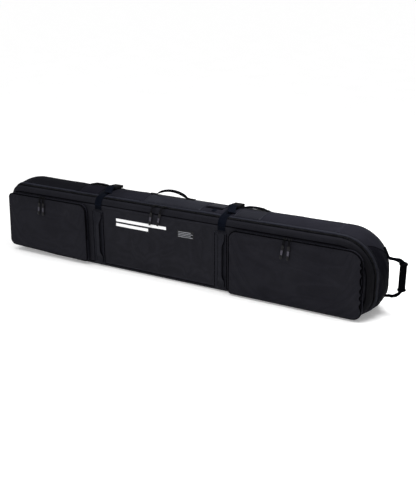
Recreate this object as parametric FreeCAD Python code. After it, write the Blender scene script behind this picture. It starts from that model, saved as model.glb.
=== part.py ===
"""Wheeled snowboard bag: a padded shell whose zipped lid carries two pockets, with compression
straps, carry handles, a pull handle on the round end and two wheels on the square end.

The bag stands on one long edge, as it is stored.  Millimetres, +Z up.  X runs along the bag from
the wheel end (-X) to the handle end (+X).  The lid faces -Y and the rolling face is +Y.  The
origin is on the resting face, midway between the lid and the back and 825 from the wheel end.
"""

import FreeCAD, Part
import math
import os

V = FreeCAD.Vector

# ---- driving dimensions ------------------------------------------------------------------
WHEEL_END_X = -825.0
HANDLE_END_X = 816.0
DEPTH = 210.0
CROWN_Z = 304.0                 # highest line of the top gusset
FABRIC = 3.0                    # outer fabric with its backing
FOAM = 5.0                      # closed-cell foam with the lining
PLY_GAP = 0.2                   # air between plies

FRONT_Y = -DEPTH / 2
BACK_Y = DEPTH / 2

# Edge profiles, as a distance inward from the crown line against Y: a round front corner, the
# front and the rear of a shallow crown, and a soft back corner.
FRONT_R = 36.0
TOP_EDGE = dict(front_turn=74.0, crown_y=-6.0, rear_r=175.0, rear_turn=21.0)
ROUND_END = dict(front_turn=68.0, crown_y=-16.0, rear_r=165.0, rear_turn=27.0)
FLAT_FRONT_R = 20.0             # the bottom and the wheel end are flat, with small corners
FLAT_BACK_R = 30.0

# Corner radii of the crown line, seen from the front.
TOP_RIGHT_R = 150.0
BOTTOM_RIGHT_R = 105.0
TOP_LEFT_R = 62.0
BOTTOM_LEFT_R = 50.0
LEAST_R = 12.0
LIFT_X = -600.0                 # the lower edge rises from here to the wheel end
LIFT = 9.0

# Main zip
ZIP_Y = FRONT_Y + 20.0
ZIP_HALF = 3.0                  # half the width of the slot that the zip fills
ZIP_THICK = 2.6
ZIP_LOW_Z = 34.0                # both ends of the zip stop above the fold of the lid

# Straps and what they pass over
STRAP_X = (-354.0, 213.0)
STRAP_W = 32.0
STRAP_T = 2.2
STRAP_ROOT_Z = 244.0
SKIN_GAP = 0.3
SOLE = 0.05                     # what standing on the floor flattens off the lower edge

# Pockets on the lid.  Corners run top left, top right, bottom right, bottom left.
POCKET_T = 3.6
POCKET_RIM = 4.0
POCKETS = {
    "left": dict(corners=((-816.5, 257.0), (-409.0, 257.0), (-409.0, 15.0), (-827.0, 26.0)),
                 radii=(20.0, 30.0, 14.0, 24.0), depth=17.0),
    "right": dict(corners=((250.0, 257.0), (762.0, 257.0), (770.0, 8.0), (250.0, 8.0)),
                  radii=(34.0, 52.0, 34.0, 14.0), depth=13.0),
}
SLIDERS = {                      # x of each slider at rest
    "main": (-88.0, -46.0),
    "left_pocket": (-638.0, -620.0),
    "right_pocket": (476.0, 496.0),
}

# Top handles: x of the middle, span between the feet, and rise of the arch
HANDLES = {
    "rear": (-431.0, 80.0, 5.0),
    "middle": (-80.0, 132.0, 17.0),
    "front": (291.0, 84.0, 7.0),
}
HANDLE_Y = 22.0
HANDLE_W = 10.0
HANDLE_T = 4.0

# Wheels
WHEEL_R = 40.0
WHEEL_W = 28.0
WHEEL_XY = (-789.0, 75.0)
WHEEL_Z = (64.0, 208.0)
AXLE_R = 4.0
RUNNING = 0.05


# ---- small helpers -----------------------------------------------------------------------
def box(x0, x1, y0, y1, z0, z1):
    """Axis-aligned box between two corners."""
    return Part.makeBox(x1 - x0, y1 - y0, z1 - z0, V(x0, y0, z0))


def along_x(points, x0, x1):
    """Prism along X whose section is a closed polygon of (y, z) points."""
    wire = Part.makePolygon([V(x0, y, z) for y, z in points + points[:1]])
    return Part.Face(wire).extrude(V(x1 - x0, 0, 0))


def fused(shapes):
    """One solid from shapes that meet."""
    return shapes[0].multiFuse(shapes[1:]).removeSplitter()


def softened(shape, radius, keep=lambda edge: True):
    """The shape with its chosen straight edges rounded."""
    edges = [e for e in shape.Edges if keep(e)]
    return shape.makeFillet(radius, edges)


def is_along(axis):
    """Test for edges that run along one axis."""
    def test(edge):
        ends = [v.Point for v in edge.Vertexes]
        if len(ends) != 2:
            return False
        run = ends[1].sub(ends[0])
        parts = [abs(run.x), abs(run.y), abs(run.z)]
        return parts[axis] > 0.999 * run.Length
    return test


# ---- the bag's outer form ----------------------------------------------------------------
def edge_arcs(front_turn, crown_y, rear_r, rear_turn):
    """The four arcs of an edge profile: centre y, centre inset, radius, and first and last lean."""
    turn, back = math.radians(front_turn), math.radians(rear_turn)
    meet_y = FRONT_Y + FRONT_R * (1 - math.cos(turn))
    crown_r = (crown_y - meet_y) / math.cos(turn)
    front_inset = crown_r * (1 - math.sin(turn)) + FRONT_R * math.sin(turn)
    out_y = crown_y + rear_r * math.sin(back)
    back_r = (BACK_Y - out_y) / (1 - math.sin(back))
    back_inset = rear_r * (1 - math.cos(back)) + back_r * math.cos(back)
    lean = turn - math.pi / 2
    return [
        (FRONT_Y + FRONT_R, front_inset, FRONT_R, -math.pi / 2, lean),
        (crown_y, crown_r, crown_r, lean, 0.0),
        (crown_y, rear_r, rear_r, 0.0, back),
        (BACK_Y - back_r, back_inset, back_r, back, math.pi / 2),
    ]


TOP_ARCS = edge_arcs(**TOP_EDGE)
END_ARCS = edge_arcs(**ROUND_END)
ARC_STEPS = (5, 2, 2, 4)


def stations(inset_by):
    """Values of y at which the bag's form is drawn, for a ply moved inward."""
    ys = []
    for (cy, _, r, a0, a1), steps in zip(TOP_ARCS, ARC_STEPS):
        for i in range(steps):
            ys.append(cy + (r - inset_by) * math.sin(a0 + (a1 - a0) * i / steps))
    ys.append(BACK_Y - inset_by)
    return ys


def edge_inset(arcs, y, inset_by):
    """Inset of an edge profile at y, for a ply moved inward."""
    for cy, ci, r, a0, a1 in arcs:
        near, far = cy + (r - inset_by) * math.sin(a0), cy + (r - inset_by) * math.sin(a1)
        if near - 1e-6 <= y <= far + 1e-6:
            return ci - math.sqrt(max((r - inset_by) ** 2 - (y - cy) ** 2, 0.0))
    raise ValueError("y outside the profile")


def flat_inset(y, inset_by):
    """Inset of the flat sides at y: small round corners at the lid and at the back."""
    near = FRONT_Y + FLAT_FRONT_R - y
    if near > 0:
        r = FLAT_FRONT_R - inset_by
        return FLAT_FRONT_R - math.sqrt(max(r * r - near * near, 0.0))
    far = y - (BACK_Y - FLAT_BACK_R)
    if far > 0:
        r = FLAT_BACK_R - inset_by
        return FLAT_BACK_R - math.sqrt(max(r * r - far * far, 0.0))
    return inset_by


def outline(y, x0, x1, z0, z1, radii, lift=0.0):
    """Rounded rectangle in the plane of one y; radii are top left, top right, then bottom.

    A lift raises the lower left corner, and the lower edge runs down from it to LIFT_X.
    """
    tl, tr, br, bl = radii
    k = math.sqrt(0.5)

    def arc(cx, cz, r, start):
        pts = []
        for step in (0, 45, 90):
            a = math.radians(start - step)
            pts.append(V(cx + r * math.cos(a), y, cz + r * math.sin(a)))
        return Part.Arc(*pts).toShape()

    corners = [
        arc(x0 + tl, z1 - tl, tl, 180),
        arc(x1 - tr, z1 - tr, tr, 90),
        arc(x1 - br, z0 + br, br, 0),
        arc(x0 + bl, z0 + lift + bl, bl, -90),
    ]
    edges = []
    for i, corner in enumerate(corners):
        edges.append(corner)
        start = corner.valueAt(corner.LastParameter)
        nxt = corners[(i + 1) % 4]
        end = nxt.valueAt(nxt.FirstParameter)
        if lift and i == 2:
            knee = V(LIFT_X, y, z0)
            edges.append(Part.LineSegment(start, knee).toShape())
            start = knee
        edges.append(Part.LineSegment(start, end).toShape())
    return Part.Wire(edges)


def bag_form(inset_by):
    """Closed form of the bag, moved inward by a ply's depth."""
    wires = []
    for y in stations(inset_by):
        top, end = edge_inset(TOP_ARCS, y, inset_by), edge_inset(END_ARCS, y, inset_by)
        flat = flat_inset(y, inset_by)
        radii = (
            max(TOP_LEFT_R - 0.5 * (top + flat), LEAST_R),
            max(TOP_RIGHT_R - 0.5 * (top + end), LEAST_R),
            max(BOTTOM_RIGHT_R - 0.5 * (end + flat), LEAST_R),
            max(BOTTOM_LEFT_R - flat, LEAST_R),
        )
        x0, x1 = WHEEL_END_X + flat, HANDLE_END_X - end
        wires.append(outline(y, x0, x1, flat - SOLE, CROWN_Z - top, radii, LIFT))
    return Part.makeLoft(wires, True, True)


def section_skin(low, high, x0, x1):
    """Skin between two heights above the top, front and back of the bag, from x0 to x1."""
    def solid(lift):
        def point(arc, lean):
            cy, ci, r = arc[:3]
            return V(x0, cy + (r + lift) * math.sin(lean), CROWN_Z - ci + (r + lift) * math.cos(lean))

        edges = []
        for arc in TOP_ARCS:
            a0, a1 = arc[3:]
            edges.append(Part.Arc(*(point(arc, a) for a in (a0, (a0 + a1) / 2, a1))).toShape())
        first, last = point(TOP_ARCS[0], -math.pi / 2), point(TOP_ARCS[3], math.pi / 2)
        floor = [last, V(x0, last.y, 0), V(x0, first.y, 0), first]
        edges += [Part.LineSegment(a, b).toShape() for a, b in zip(floor, floor[1:])]
        return Part.Face(Part.Wire(edges)).extrude(V(x1 - x0, 0, 0))
    return solid(high).cut(solid(low))


def top_z(y, lift=0.0):
    """Height of the top at y."""
    return CROWN_Z - edge_inset(TOP_ARCS, y, -lift)


# ---- shell -------------------------------------------------------------------------------
BIG = 2000.0                    # reach of a cutting box, past every face
HOUSING_X1, HOUSING_Y0 = -733.0, 30.0
HOUSING_Z = (24.0, 250.0)
GUSSET_BACK_Y = BACK_Y - 5.0    # seam between the gussets and the back panel
LEFT_CUT_X, RIGHT_CUT_X, MID_Z = -760.0, 650.0, 150.0
TAPE_GAP = 0.15                 # from a half of the zip to the middle of its slot
FOLD_X = (LIFT_X + 4.0, 690.0)
BOARD_T = 2.0
BOARD_X, BOARD_Z = (-727.0, 690.0), (42.0, 196.0)
BOARD_RADII = (10.0, 50.0, 30.0, 10.0)


def shell_and_lid():
    """Fabric panels and foam of the shell and of the lid."""
    outer, under_fabric = bag_form(0), bag_form(FABRIC)
    foam_out, foam_in = bag_form(FABRIC + PLY_GAP), bag_form(FABRIC + PLY_GAP + FOAM)
    above_floor = box(-BIG, BIG, -BIG, BIG, 0.0, BIG)
    fabric = outer.cut(under_fabric).common(above_floor)
    foam = foam_out.cut(foam_in)
    tub_y, lid_y = ZIP_Y + ZIP_HALF, ZIP_Y - ZIP_HALF
    housing_room = box(-BIG, HOUSING_X1, HOUSING_Y0, BIG, *HOUSING_Z)
    tub = fabric.common(box(-BIG, BIG, tub_y, BIG, -BIG, BIG)).cut(housing_room)
    made = {}
    made["back_panel"] = tub.common(box(-BIG, BIG, GUSSET_BACK_Y, BIG, -BIG, BIG))
    ring = tub.common(box(-BIG, BIG, -BIG, GUSSET_BACK_Y, -BIG, BIG))
    made["wheel_end_panel"] = ring.common(box(-BIG, LEFT_CUT_X, -BIG, BIG, -BIG, BIG))
    made["handle_end_panel"] = ring.common(box(RIGHT_CUT_X, BIG, -BIG, BIG, -BIG, BIG))
    made["top_gusset"] = ring.common(box(LEFT_CUT_X, RIGHT_CUT_X, -BIG, BIG, MID_Z, BIG))
    made["bottom_gusset"] = ring.common(box(LEFT_CUT_X, RIGHT_CUT_X, -BIG, BIG, -BIG, MID_Z))

    padding_back_y = BACK_Y - FABRIC - PLY_GAP - BOARD_T - PLY_GAP
    padding_front_y = padding_back_y - FOAM
    slab = box(-BIG, BIG, padding_front_y, padding_back_y, -BIG, BIG)
    padding = [foam_out.common(slab).cut(housing_room)]
    side = foam.common(box(-BIG, BIG, tub_y, padding_front_y - PLY_GAP, -BIG, BIG)).cut(housing_room)
    cuts = [
        box(-BIG, LEFT_CUT_X - PLY_GAP, -BIG, BIG, -BIG, BIG),
        box(RIGHT_CUT_X + PLY_GAP, BIG, -BIG, BIG, -BIG, BIG),
        box(LEFT_CUT_X, RIGHT_CUT_X, -BIG, BIG, MID_Z, BIG),
        box(LEFT_CUT_X, RIGHT_CUT_X, -BIG, BIG, -BIG, MID_Z),
    ]
    made["shell_padding"] = Part.Compound(padding + [side.common(c) for c in cuts])

    lid = fabric.common(box(-BIG, BIG, -BIG, lid_y, -BIG, BIG))
    made["lid_panel"] = lid.common(box(-BIG, BIG, -BIG, FRONT_Y + FABRIC, -BIG, BIG))
    made["lid_band"] = lid.common(box(-BIG, BIG, FRONT_Y + FABRIC, BIG, -BIG, BIG))
    made["lid_padding"] = foam.common(box(-BIG, BIG, -BIG, lid_y, -BIG, BIG))

    skin = outer.cut(bag_form(ZIP_THICK))
    above = box(-BIG, BIG, -BIG, BIG, ZIP_LOW_Z, BIG)
    lid_half = box(-BIG, BIG, lid_y, ZIP_Y - TAPE_GAP, -BIG, BIG)
    tub_half = box(-BIG, BIG, ZIP_Y + TAPE_GAP, tub_y, -BIG, BIG)
    made["main_zip_lid_tape"] = skin.common(lid_half).common(above)
    made["main_zip_shell_tape"] = skin.common(tub_half).common(above)
    made["lid_fold"] = box(*FOLD_X, lid_y + SKIN_GAP, tub_y, 0.0, FABRIC)
    return made


def stiffener_board():
    """Flat board behind the foam that keeps the rolling face straight."""
    y1 = BACK_Y - FABRIC - PLY_GAP
    plate = Part.Face(outline(y1 - BOARD_T, *BOARD_X, *BOARD_Z, BOARD_RADII))
    return plate.extrude(V(0, BOARD_T, 0))


# ---- wheels ------------------------------------------------------------------------------
WELL_R = WHEEL_R + 6.0
WELL_HALF = WHEEL_W / 2 + 4.0
WALL = 4.0
HOUSING_PROUD = 4.0             # how far the housing stands out of the rolling face
HOUSING_ROUND = 24.0
HOUSING_EDGE_R = 8.0
AXLE_FIT = 0.02                 # between an axle and its holes, and a hub and its bearings
PIN_HEAD_R, PIN_HEAD_T = AXLE_R + 3.0, 2.0


def wheel_housing():
    """Moulded corner with two wheel wells, open to the inside of the bag."""
    x0, x1 = WHEEL_END_X, HOUSING_X1 - PLY_GAP
    y0, y1 = HOUSING_Y0 + PLY_GAP, BACK_Y + HOUSING_PROUD
    z0, z1 = HOUSING_Z[0] + PLY_GAP, HOUSING_Z[1] - PLY_GAP
    block = softened(box(x0, x1, y0, y1, z0, z1), HOUSING_EDGE_R, is_along(2))
    turn_y, turn_z = y1 - HOUSING_ROUND, z1 - HOUSING_ROUND
    corner = box(x0 - 1, x1 + 1, turn_y, y1 + 1, turn_z, z1 + 1)
    axis = V(x0 - 1, turn_y, turn_z)
    outer_turn = Part.makeCylinder(HOUSING_ROUND, x1 - x0 + 2, axis, V(1, 0, 0))
    inner_turn = Part.makeCylinder(HOUSING_ROUND - WALL, x1 - x0 + 2, axis, V(1, 0, 0))
    hollow = box(x0 + WALL, x1 + 1, y0 - 1, y1 - WALL, z0 + WALL, z1 - WALL)
    shell = block.cut(corner.cut(outer_turn)).cut(hollow.cut(corner.cut(inner_turn)))
    wells, rooms = [], []
    for z in WHEEL_Z:
        at = V(WHEEL_XY[0], WHEEL_XY[1], z - WELL_HALF - WALL)
        wells.append(Part.makeCylinder(WELL_R + WALL, 2 * (WELL_HALF + WALL), at))
        rooms.append(Part.makeCylinder(WELL_R, 2 * WELL_HALF, V(at.x, at.y, z - WELL_HALF)))
        rooms.append(Part.makeCylinder(AXLE_R + AXLE_FIT, 4 * WELL_HALF, V(at.x, at.y, z - 2 * WELL_HALF)))
    wells = [w.common(box(x0, x1, y0, y1, z0, z1)) for w in wells]
    body = shell.multiFuse([w.common(block.cut(corner.cut(outer_turn))) for w in wells])
    for room in rooms:
        body = body.cut(room)
    return body


def wheel_axles():
    """Headed pins, one across each well."""
    pins = []
    for z in WHEEL_Z:
        low = z - WELL_HALF - WALL
        at = V(WHEEL_XY[0], WHEEL_XY[1], low)
        pins.append(fused([
            Part.makeCylinder(AXLE_R, 2 * (WELL_HALF + WALL), at),
            Part.makeCylinder(PIN_HEAD_R, PIN_HEAD_T, V(at.x, at.y, low - PIN_HEAD_T)),
            Part.makeCylinder(PIN_HEAD_R, PIN_HEAD_T, V(at.x, at.y, low + 2 * (WELL_HALF + WALL))),
        ]))
    return Part.Compound(pins)


BEARING_R, BEARING_W = 11.0, 7.0
BEARING_INSET = 3.0             # from a face of the tyre
HUB_R, HUB_INSET = 26.0, 2.0
HUB_RIM, HUB_BOSS, HUB_WEB = 5.0, 4.0, 5.0
TREAD_ROUND = 9.0


def wheel(z):
    """Tyre, hub and the two bearings of one wheel."""
    x, y = WHEEL_XY
    half = WHEEL_W / 2

    def ring(r_out, r_in, z0, height):
        whole = Part.makeCylinder(r_out, height, V(x, y, z0))
        return whole.cut(Part.makeCylinder(r_in, height, V(x, y, z0)))

    tyre = ring(WHEEL_R, HUB_R, z - half, WHEEL_W)
    rims = [e for e in tyre.Edges if e.Curve.TypeId == "Part::GeomCircle"
            and abs(e.Curve.Radius - WHEEL_R) < 0.1]
    tyre = tyre.makeFillet(TREAD_ROUND, rims)
    hub = ring(HUB_R - AXLE_FIT, BEARING_R, z - half + HUB_INSET, WHEEL_W - 2 * HUB_INSET)
    groove = ring(HUB_R - HUB_RIM, BEARING_R + HUB_BOSS, z - half, half - HUB_WEB)
    hub = hub.cut(groove).cut(groove.translated(V(0, 0, half + HUB_WEB)))
    low, high = z - half + BEARING_INSET, z + half - BEARING_INSET - BEARING_W
    bearings = [ring(BEARING_R - AXLE_FIT, AXLE_R + RUNNING, at, BEARING_W) for at in (low, high)]
    return tyre, hub, Part.Compound(bearings)


RAIL_T, RAIL_W, RAIL_CHAMFER = 7.0, 22.0, 3.0
RIVET_R, RIVET_T, RIVET_SUNK, RIVET_PITCH, RIVET_INSET = 5.0, 1.5, 2.0, 150.0, 20.0
RIVET_ROOM = 0.2
RAIL_Z = (62.0, 128.0, 194.0)
RAIL_X = ((-690.0, -392.0), (-326.0, 172.0))


def skid_rails():
    """Moulded runners on the rolling face, and the rivets that hold them."""
    rails, rivets = [], []
    for z in RAIL_Z:
        for x0, x1 in RAIL_X:
            y0 = BACK_Y + SKIN_GAP
            rail = box(x0, x1, y0, y0 + RAIL_T, z - RAIL_W / 2, z + RAIL_W / 2)
            outer = [e for e in rail.Edges if abs(e.CenterOfMass.y - y0 - RAIL_T) < 0.01]
            rail = rail.makeChamfer(RAIL_CHAMFER, outer)
            count = max(2, round((x1 - x0) / RIVET_PITCH))
            for i in range(count):
                x = x0 + RIVET_INSET + (x1 - x0 - 2 * RIVET_INSET) * i / (count - 1)
                seat = V(x, y0 + RAIL_T - RIVET_SUNK, z)
                rail = rail.cut(Part.makeCylinder(RIVET_R + RIVET_ROOM, RAIL_T, seat, V(0, 1, 0)))
                rivets.append(Part.makeCylinder(RIVET_R, RIVET_T, seat, V(0, 1, 0)))
            rails.append(rail)
    return Part.Compound(rails), Part.Compound(rivets)


# ---- straps and buckles ------------------------------------------------------------------
BUCKLE_W, BUCKLE_H, BUCKLE_WALL = 41.0, 10.0, 2.0
MOUTH_Y = 12.0                  # where the two halves of a buckle meet
STRAP_ENDS = (MOUTH_Y - 3.0, MOUTH_Y + 1.0)
SOCKET_L, TONGUE_L, PRONG_L = 34.0, 26.0, 19.0
SOCKET_EDGE_R, TONGUE_EDGE_R = 4.0, 3.5
SOCKET_FLOOR = 12.0             # solid part behind the room for the prongs
SIDE_OPENING = (8.0, 20.0)      # along the socket, where a prong's shoulder shows
STRAP_SLOT = (25.0, 30.0)       # along the socket, for the rear strap
LADDER_SLOT, LADDER_PITCH, LADDER_RIM = 4.5, 9.0, 4.0
TONGUE_INSET = 0.6              # of the tongue's faces inside the socket's
PRONG_ROOM = 0.8
GUIDE_HALF, PRONG_X, PRONG_ROOT = 3.0, (10.5, 15.5), 2.0
STRAP_FOOT_Z = 8.0              # lower end of the strap on the rolling face


def strap_front(x):
    """Webbing from the lid's seam, over the zip, to under the buckle."""
    ring = section_skin(SKIN_GAP, SKIN_GAP + STRAP_T, x - STRAP_W / 2, x + STRAP_W / 2)
    return ring.common(box(-BIG, BIG, -BIG, STRAP_ENDS[0], STRAP_ROOT_Z, BIG))


def strap_rear(x):
    """Webbing from under the buckle, over the back edge and down the rolling face."""
    ring = section_skin(SKIN_GAP, SKIN_GAP + STRAP_T, x - STRAP_W / 2, x + STRAP_W / 2)
    return ring.common(box(-BIG, BIG, STRAP_ENDS[1], BIG, STRAP_FOOT_Z, BIG))


def on_top(shape, x):
    """Moves a buckle half from its own frame, mouth at the origin, to lie on its strap."""
    lean = math.asin((MOUTH_Y - TOP_EDGE["crown_y"]) / TOP_EDGE["rear_r"])
    shape.rotate(V(0, 0, 0), V(1, 0, 0), -math.degrees(lean))
    lift = SKIN_GAP + STRAP_T + SKIN_GAP
    shape.translate(V(x, MOUTH_Y + lift * math.sin(lean), top_z(MOUTH_Y) + lift * math.cos(lean)))
    return shape


def buckle_socket(x):
    """Housing that takes the prongs, open at the mouth and at both sides."""
    w, h, web = BUCKLE_W / 2, BUCKLE_H, STRAP_W / 2 + 1
    body = softened(box(-w, w, 0, SOCKET_L, 0, h), SOCKET_EDGE_R, is_along(2))
    low, high = BUCKLE_WALL, h - BUCKLE_WALL
    body = body.cut(box(-w + BUCKLE_WALL, w - BUCKLE_WALL, -1, SOCKET_L - SOCKET_FLOOR, low, high))
    body = body.cut(box(-w - 1, w + 1, *SIDE_OPENING, low, high))
    body = body.cut(box(-web, web, *STRAP_SLOT, -1, h + 1))
    return on_top(body, x)


def buckle_tongue(x):
    """Ladder half on the front strap, with a guide and two sprung prongs."""
    w, web, inset = BUCKLE_W / 2, STRAP_W / 2 + 1, TONGUE_INSET
    low, high = BUCKLE_WALL + PRONG_ROOM, BUCKLE_H - BUCKLE_WALL - PRONG_ROOM
    block = box(-w, w, -TONGUE_L, -inset, inset, BUCKLE_H - inset)
    body = softened(block, TONGUE_EDGE_R, is_along(2))
    first = -TONGUE_L + LADDER_RIM
    for y in (first, first + LADDER_PITCH):
        body = body.cut(box(-web, web, y, y + LADDER_SLOT, -1, 2 * BUCKLE_H))
    prongs = [box(-GUIDE_HALF, GUIDE_HALF, -PRONG_ROOT, PRONG_L - GUIDE_HALF, low, high)]
    for side in (-1, 1):
        inner, outer = sorted(side * x for x in PRONG_X)
        prongs.append(box(inner, outer, -PRONG_ROOT, PRONG_L, low, high))
    return on_top(fused([body] + prongs), x)


# ---- lid: pockets, bands and side handles ------------------------------------------------
def pocket(spec):
    """Gusset frame and the front flap of one pocket."""
    y_back, y_front = FRONT_Y - SKIN_GAP, FRONT_Y - spec["depth"]

    def slab(y0, y1, shrink):
        (ax, az), (bx, bz), (cx, cz), (dx, dz) = spec["corners"]
        s = shrink
        pts = [(ax + s, az - s), (bx - s, bz - s), (cx - s, cz + s), (dx + s, dz + s)]
        wire = Part.makePolygon([V(x, y0, z) for x, z in pts + pts[:1]])
        block = Part.Face(wire).extrude(V(0, y1 - y0, 0))
        for (x, z), r in zip(pts, spec["radii"]):
            edge = [e for e in block.Edges if is_along(1)(e)
                    and abs(e.CenterOfMass.x - x) + abs(e.CenterOfMass.z - z) < 0.5]
            block = block.makeFillet(max(r - s, POCKET_RIM), edge)
        return block

    frame = slab(y_front, y_back, 0.0).cut(slab(y_front - 1, y_back + 1, POCKET_RIM))
    flap = slab(y_front - SKIN_GAP - POCKET_T, y_front - SKIN_GAP, 0.0)
    return frame, flap


BAND_W, BAND_T = 52.0, 1.5
BAND_FOOT, BAND_TOP = 12.0, 240.0
BAND_SHIFT = -3.0               # of a band's middle from its strap's
BAND_GAP = 0.2
SIDE_HANDLE_W = 30.0
GRIP_PLY = 3.0
GRIP_STAND = 12.0
GRIP_RISE = 22.0                # of z over which the webbing leaves the lid
SIDE_HANDLE_Z = (18.0, 44.0, 212.0, 236.0)


def lash_band(x):
    """Flat reinforcement strip down the lid below the strap."""
    y = FRONT_Y - SKIN_GAP
    mid = x + BAND_SHIFT
    return box(mid - BAND_W / 2, mid + BAND_W / 2, y - BAND_T, y, BAND_FOOT, BAND_TOP)


def side_handle(x):
    """Webbing sewn down at both ends, standing off the lid between them."""
    y0 = FRONT_Y - SKIN_GAP - BAND_T - BAND_GAP
    y1 = y0 - GRIP_STAND
    t, ease = GRIP_PLY, 1.5
    foot, low, high, top = SIDE_HANDLE_Z
    path = [(y0, foot), (y0, low), (y1 + t, low + GRIP_RISE), (y1 + t, high - GRIP_RISE),
            (y0, high), (y0, top), (y0 - t, top), (y0 - t, high + ease),
            (y1, high - GRIP_RISE + ease), (y1, low + GRIP_RISE - ease), (y0 - t, low - ease),
            (y0 - t, foot)]
    return along_x(path, x - SIDE_HANDLE_W / 2, x + SIDE_HANDLE_W / 2)


# ---- sliders and pulls -------------------------------------------------------------------
SLIDER_L, SLIDER_W = 12.0, 9.0
SLIDER_Z = (0.5, 3.0)           # of the body above the zip
SLIDER_EDGE_R = 0.8
LUG_X, LUG_Y, LUG_Z = (4.2, 5.6), (-3.5, 1.0), (2.8, 6.4)
PIN_UP, PIN_OUT = -1.4, 5.1     # of the pull's pin from the slider's seat, up the skin and off it
PIVOT_R, PIN_HALF = 1.1, 3.8
CORD_T, CORD_HALF = 2.4, 1.7
CORD_TURN = 0.7                 # share of the way out at which the cord turns down
KNEE_DROP = 16.0                # below the pin the cord hangs plumb
CORD_SUNK, GRIP_HEAD = 12.0, 9.0
TAB_HALF_X, TAB_HALF_Y, TAB_ROUND = 4.2, 2.4, 1.8
PULL_DROP = 78.0                # from the pin to the lower end of the grip
MAIN_PULL_OUT, POCKET_PULL_OUT = 7.0, 5.5
POCKET_SEAT_OUT, POCKET_SEAT_UP = 1.0, 0.4
MAIN_SWINGS, POCKET_SWINGS = (11.0, 16.0), (9.0, 4.0)   # degrees that each pull hangs aslant


def slider_at(x, y, z, lean):
    """Zip slider on a surface whose normal leans from -Y up to +Z by an angle."""
    half_l, half_w = SLIDER_L / 2, SLIDER_W / 2
    block = box(-half_l, half_l, -half_w, half_w, *SLIDER_Z)
    shape = softened(block, SLIDER_EDGE_R, is_along(2))
    for side in (-1, 1):
        near, far = sorted(side * at for at in LUG_X)
        shape = shape.fuse(box(near, far, *LUG_Y, *LUG_Z))
    shape = shape.removeSplitter()
    shape.rotate(V(0, 0, 0), V(1, 0, 0), lean)
    shape.translate(V(x, y, z))
    return shape


def pivot_of(y, z, lean):
    """Centre line of a slider's pull, in the plane of one x."""
    a = math.radians(lean)
    return (y + PIN_UP * math.cos(a) - PIN_OUT * math.sin(a),
            z + PIN_UP * math.sin(a) + PIN_OUT * math.cos(a))


def pull_at(x, pivot, hang_y, drop, swing):
    """Pull: a pin in the slider, a cord loop that falls clear of the bag, and a moulded grip."""
    py, pz = pivot
    half = CORD_T / 2
    pin = Part.makeCylinder(PIVOT_R, 2 * PIN_HALF, V(x - PIN_HALF, py, pz), V(1, 0, 0))
    knee_z = pz - KNEE_DROP
    turn_y = CORD_TURN * hang_y + (1 - CORD_TURN) * py
    loop = along_x([(py + PIVOT_R, pz - PIVOT_R / 2), (py + PIVOT_R, pz + PIVOT_R),
                    (turn_y - half, pz + PIVOT_R / 2), (hang_y - half, knee_z + PIVOT_R),
                    (hang_y - half, knee_z - CORD_SUNK), (hang_y + half, knee_z - CORD_SUNK),
                    (hang_y + half, knee_z), (turn_y + half, pz - PIVOT_R)],
                   x - CORD_HALF, x + CORD_HALF)
    tab = box(x - TAB_HALF_X, x + TAB_HALF_X, hang_y - TAB_HALF_Y, hang_y + TAB_HALF_Y,
              pz - drop, knee_z - GRIP_HEAD)
    whole = fused([pin, loop, softened(tab, TAB_ROUND, is_along(2))])
    whole.rotate(V(x, py, pz), V(0, 1, 0), swing)
    return whole


# ---- handles -----------------------------------------------------------------------------
def arch(x, span, rise, base_z, t, y0, y1):
    """Circular arch along X, as a band of one thickness."""
    half = span / 2
    r = (half * half + rise * rise) / (2 * rise)
    centre_z = base_z + rise - r

    def curve(radius):
        a = math.asin(half / r)
        pts = [V(x + radius * math.sin(s), y0, centre_z + radius * math.cos(s)) for s in (-a, 0, a)]
        return Part.Arc(*pts).toShape(), pts

    upper, up = curve(r + t)
    lower, low = curve(r)
    sides = [Part.LineSegment(up[2], low[2]).toShape(), Part.LineSegment(low[0], up[0]).toShape()]
    face = Part.Face(Part.Wire([upper, sides[0], lower, sides[1]]))
    return face.extrude(V(0, y1 - y0, 0))


PATCHES = {"rear": (-484.0, -384.0), "middle": (-166.0, 98.0), "front": (242.0, 352.0)}
PATCH_Y, PATCH_T = (-70.0, 84.0), 1.2
HANDLE_LIFT = 6.5               # of the lines that the handles fold about, above the gusset
HANDLE_AXIS_Z = top_z(HANDLE_Y) + HANDLE_LIFT
FOOT_L, FOOT_HALF_W, FOOT_GAP = 13.0, 11.0, 3.5
FOOT_TUCK = 1.0                 # of a foot under the end of its handle


def handle_patches():
    """Reinforcement patches under the top handles, each with its two webbing feet."""
    made = []
    for name, (x0, x1) in PATCHES.items():
        skin = section_skin(SKIN_GAP, SKIN_GAP + PATCH_T, x0, x1)
        pieces = [skin.common(box(-BIG, BIG, *PATCH_Y, MID_Z, BIG))]
        x, span, _ = HANDLES[name]
        under = section_skin(-CROWN_Z / 5, SKIN_GAP + PATCH_T / 2, x0 - FOOT_L, x1 + FOOT_L)
        for side in (-1, 1):
            near, far = sorted((x + side * (span / 2 - FOOT_TUCK), x + side * (span / 2 + FOOT_L)))
            foot = box(near, far, HANDLE_Y - FOOT_HALF_W, HANDLE_Y + FOOT_HALF_W,
                       CROWN_Z - HOUSING_ROUND, HANDLE_AXIS_Z - FOOT_GAP)
            pieces.append(foot.cut(under))
        made.append(fused(pieces))
    return Part.Compound(made)


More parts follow.
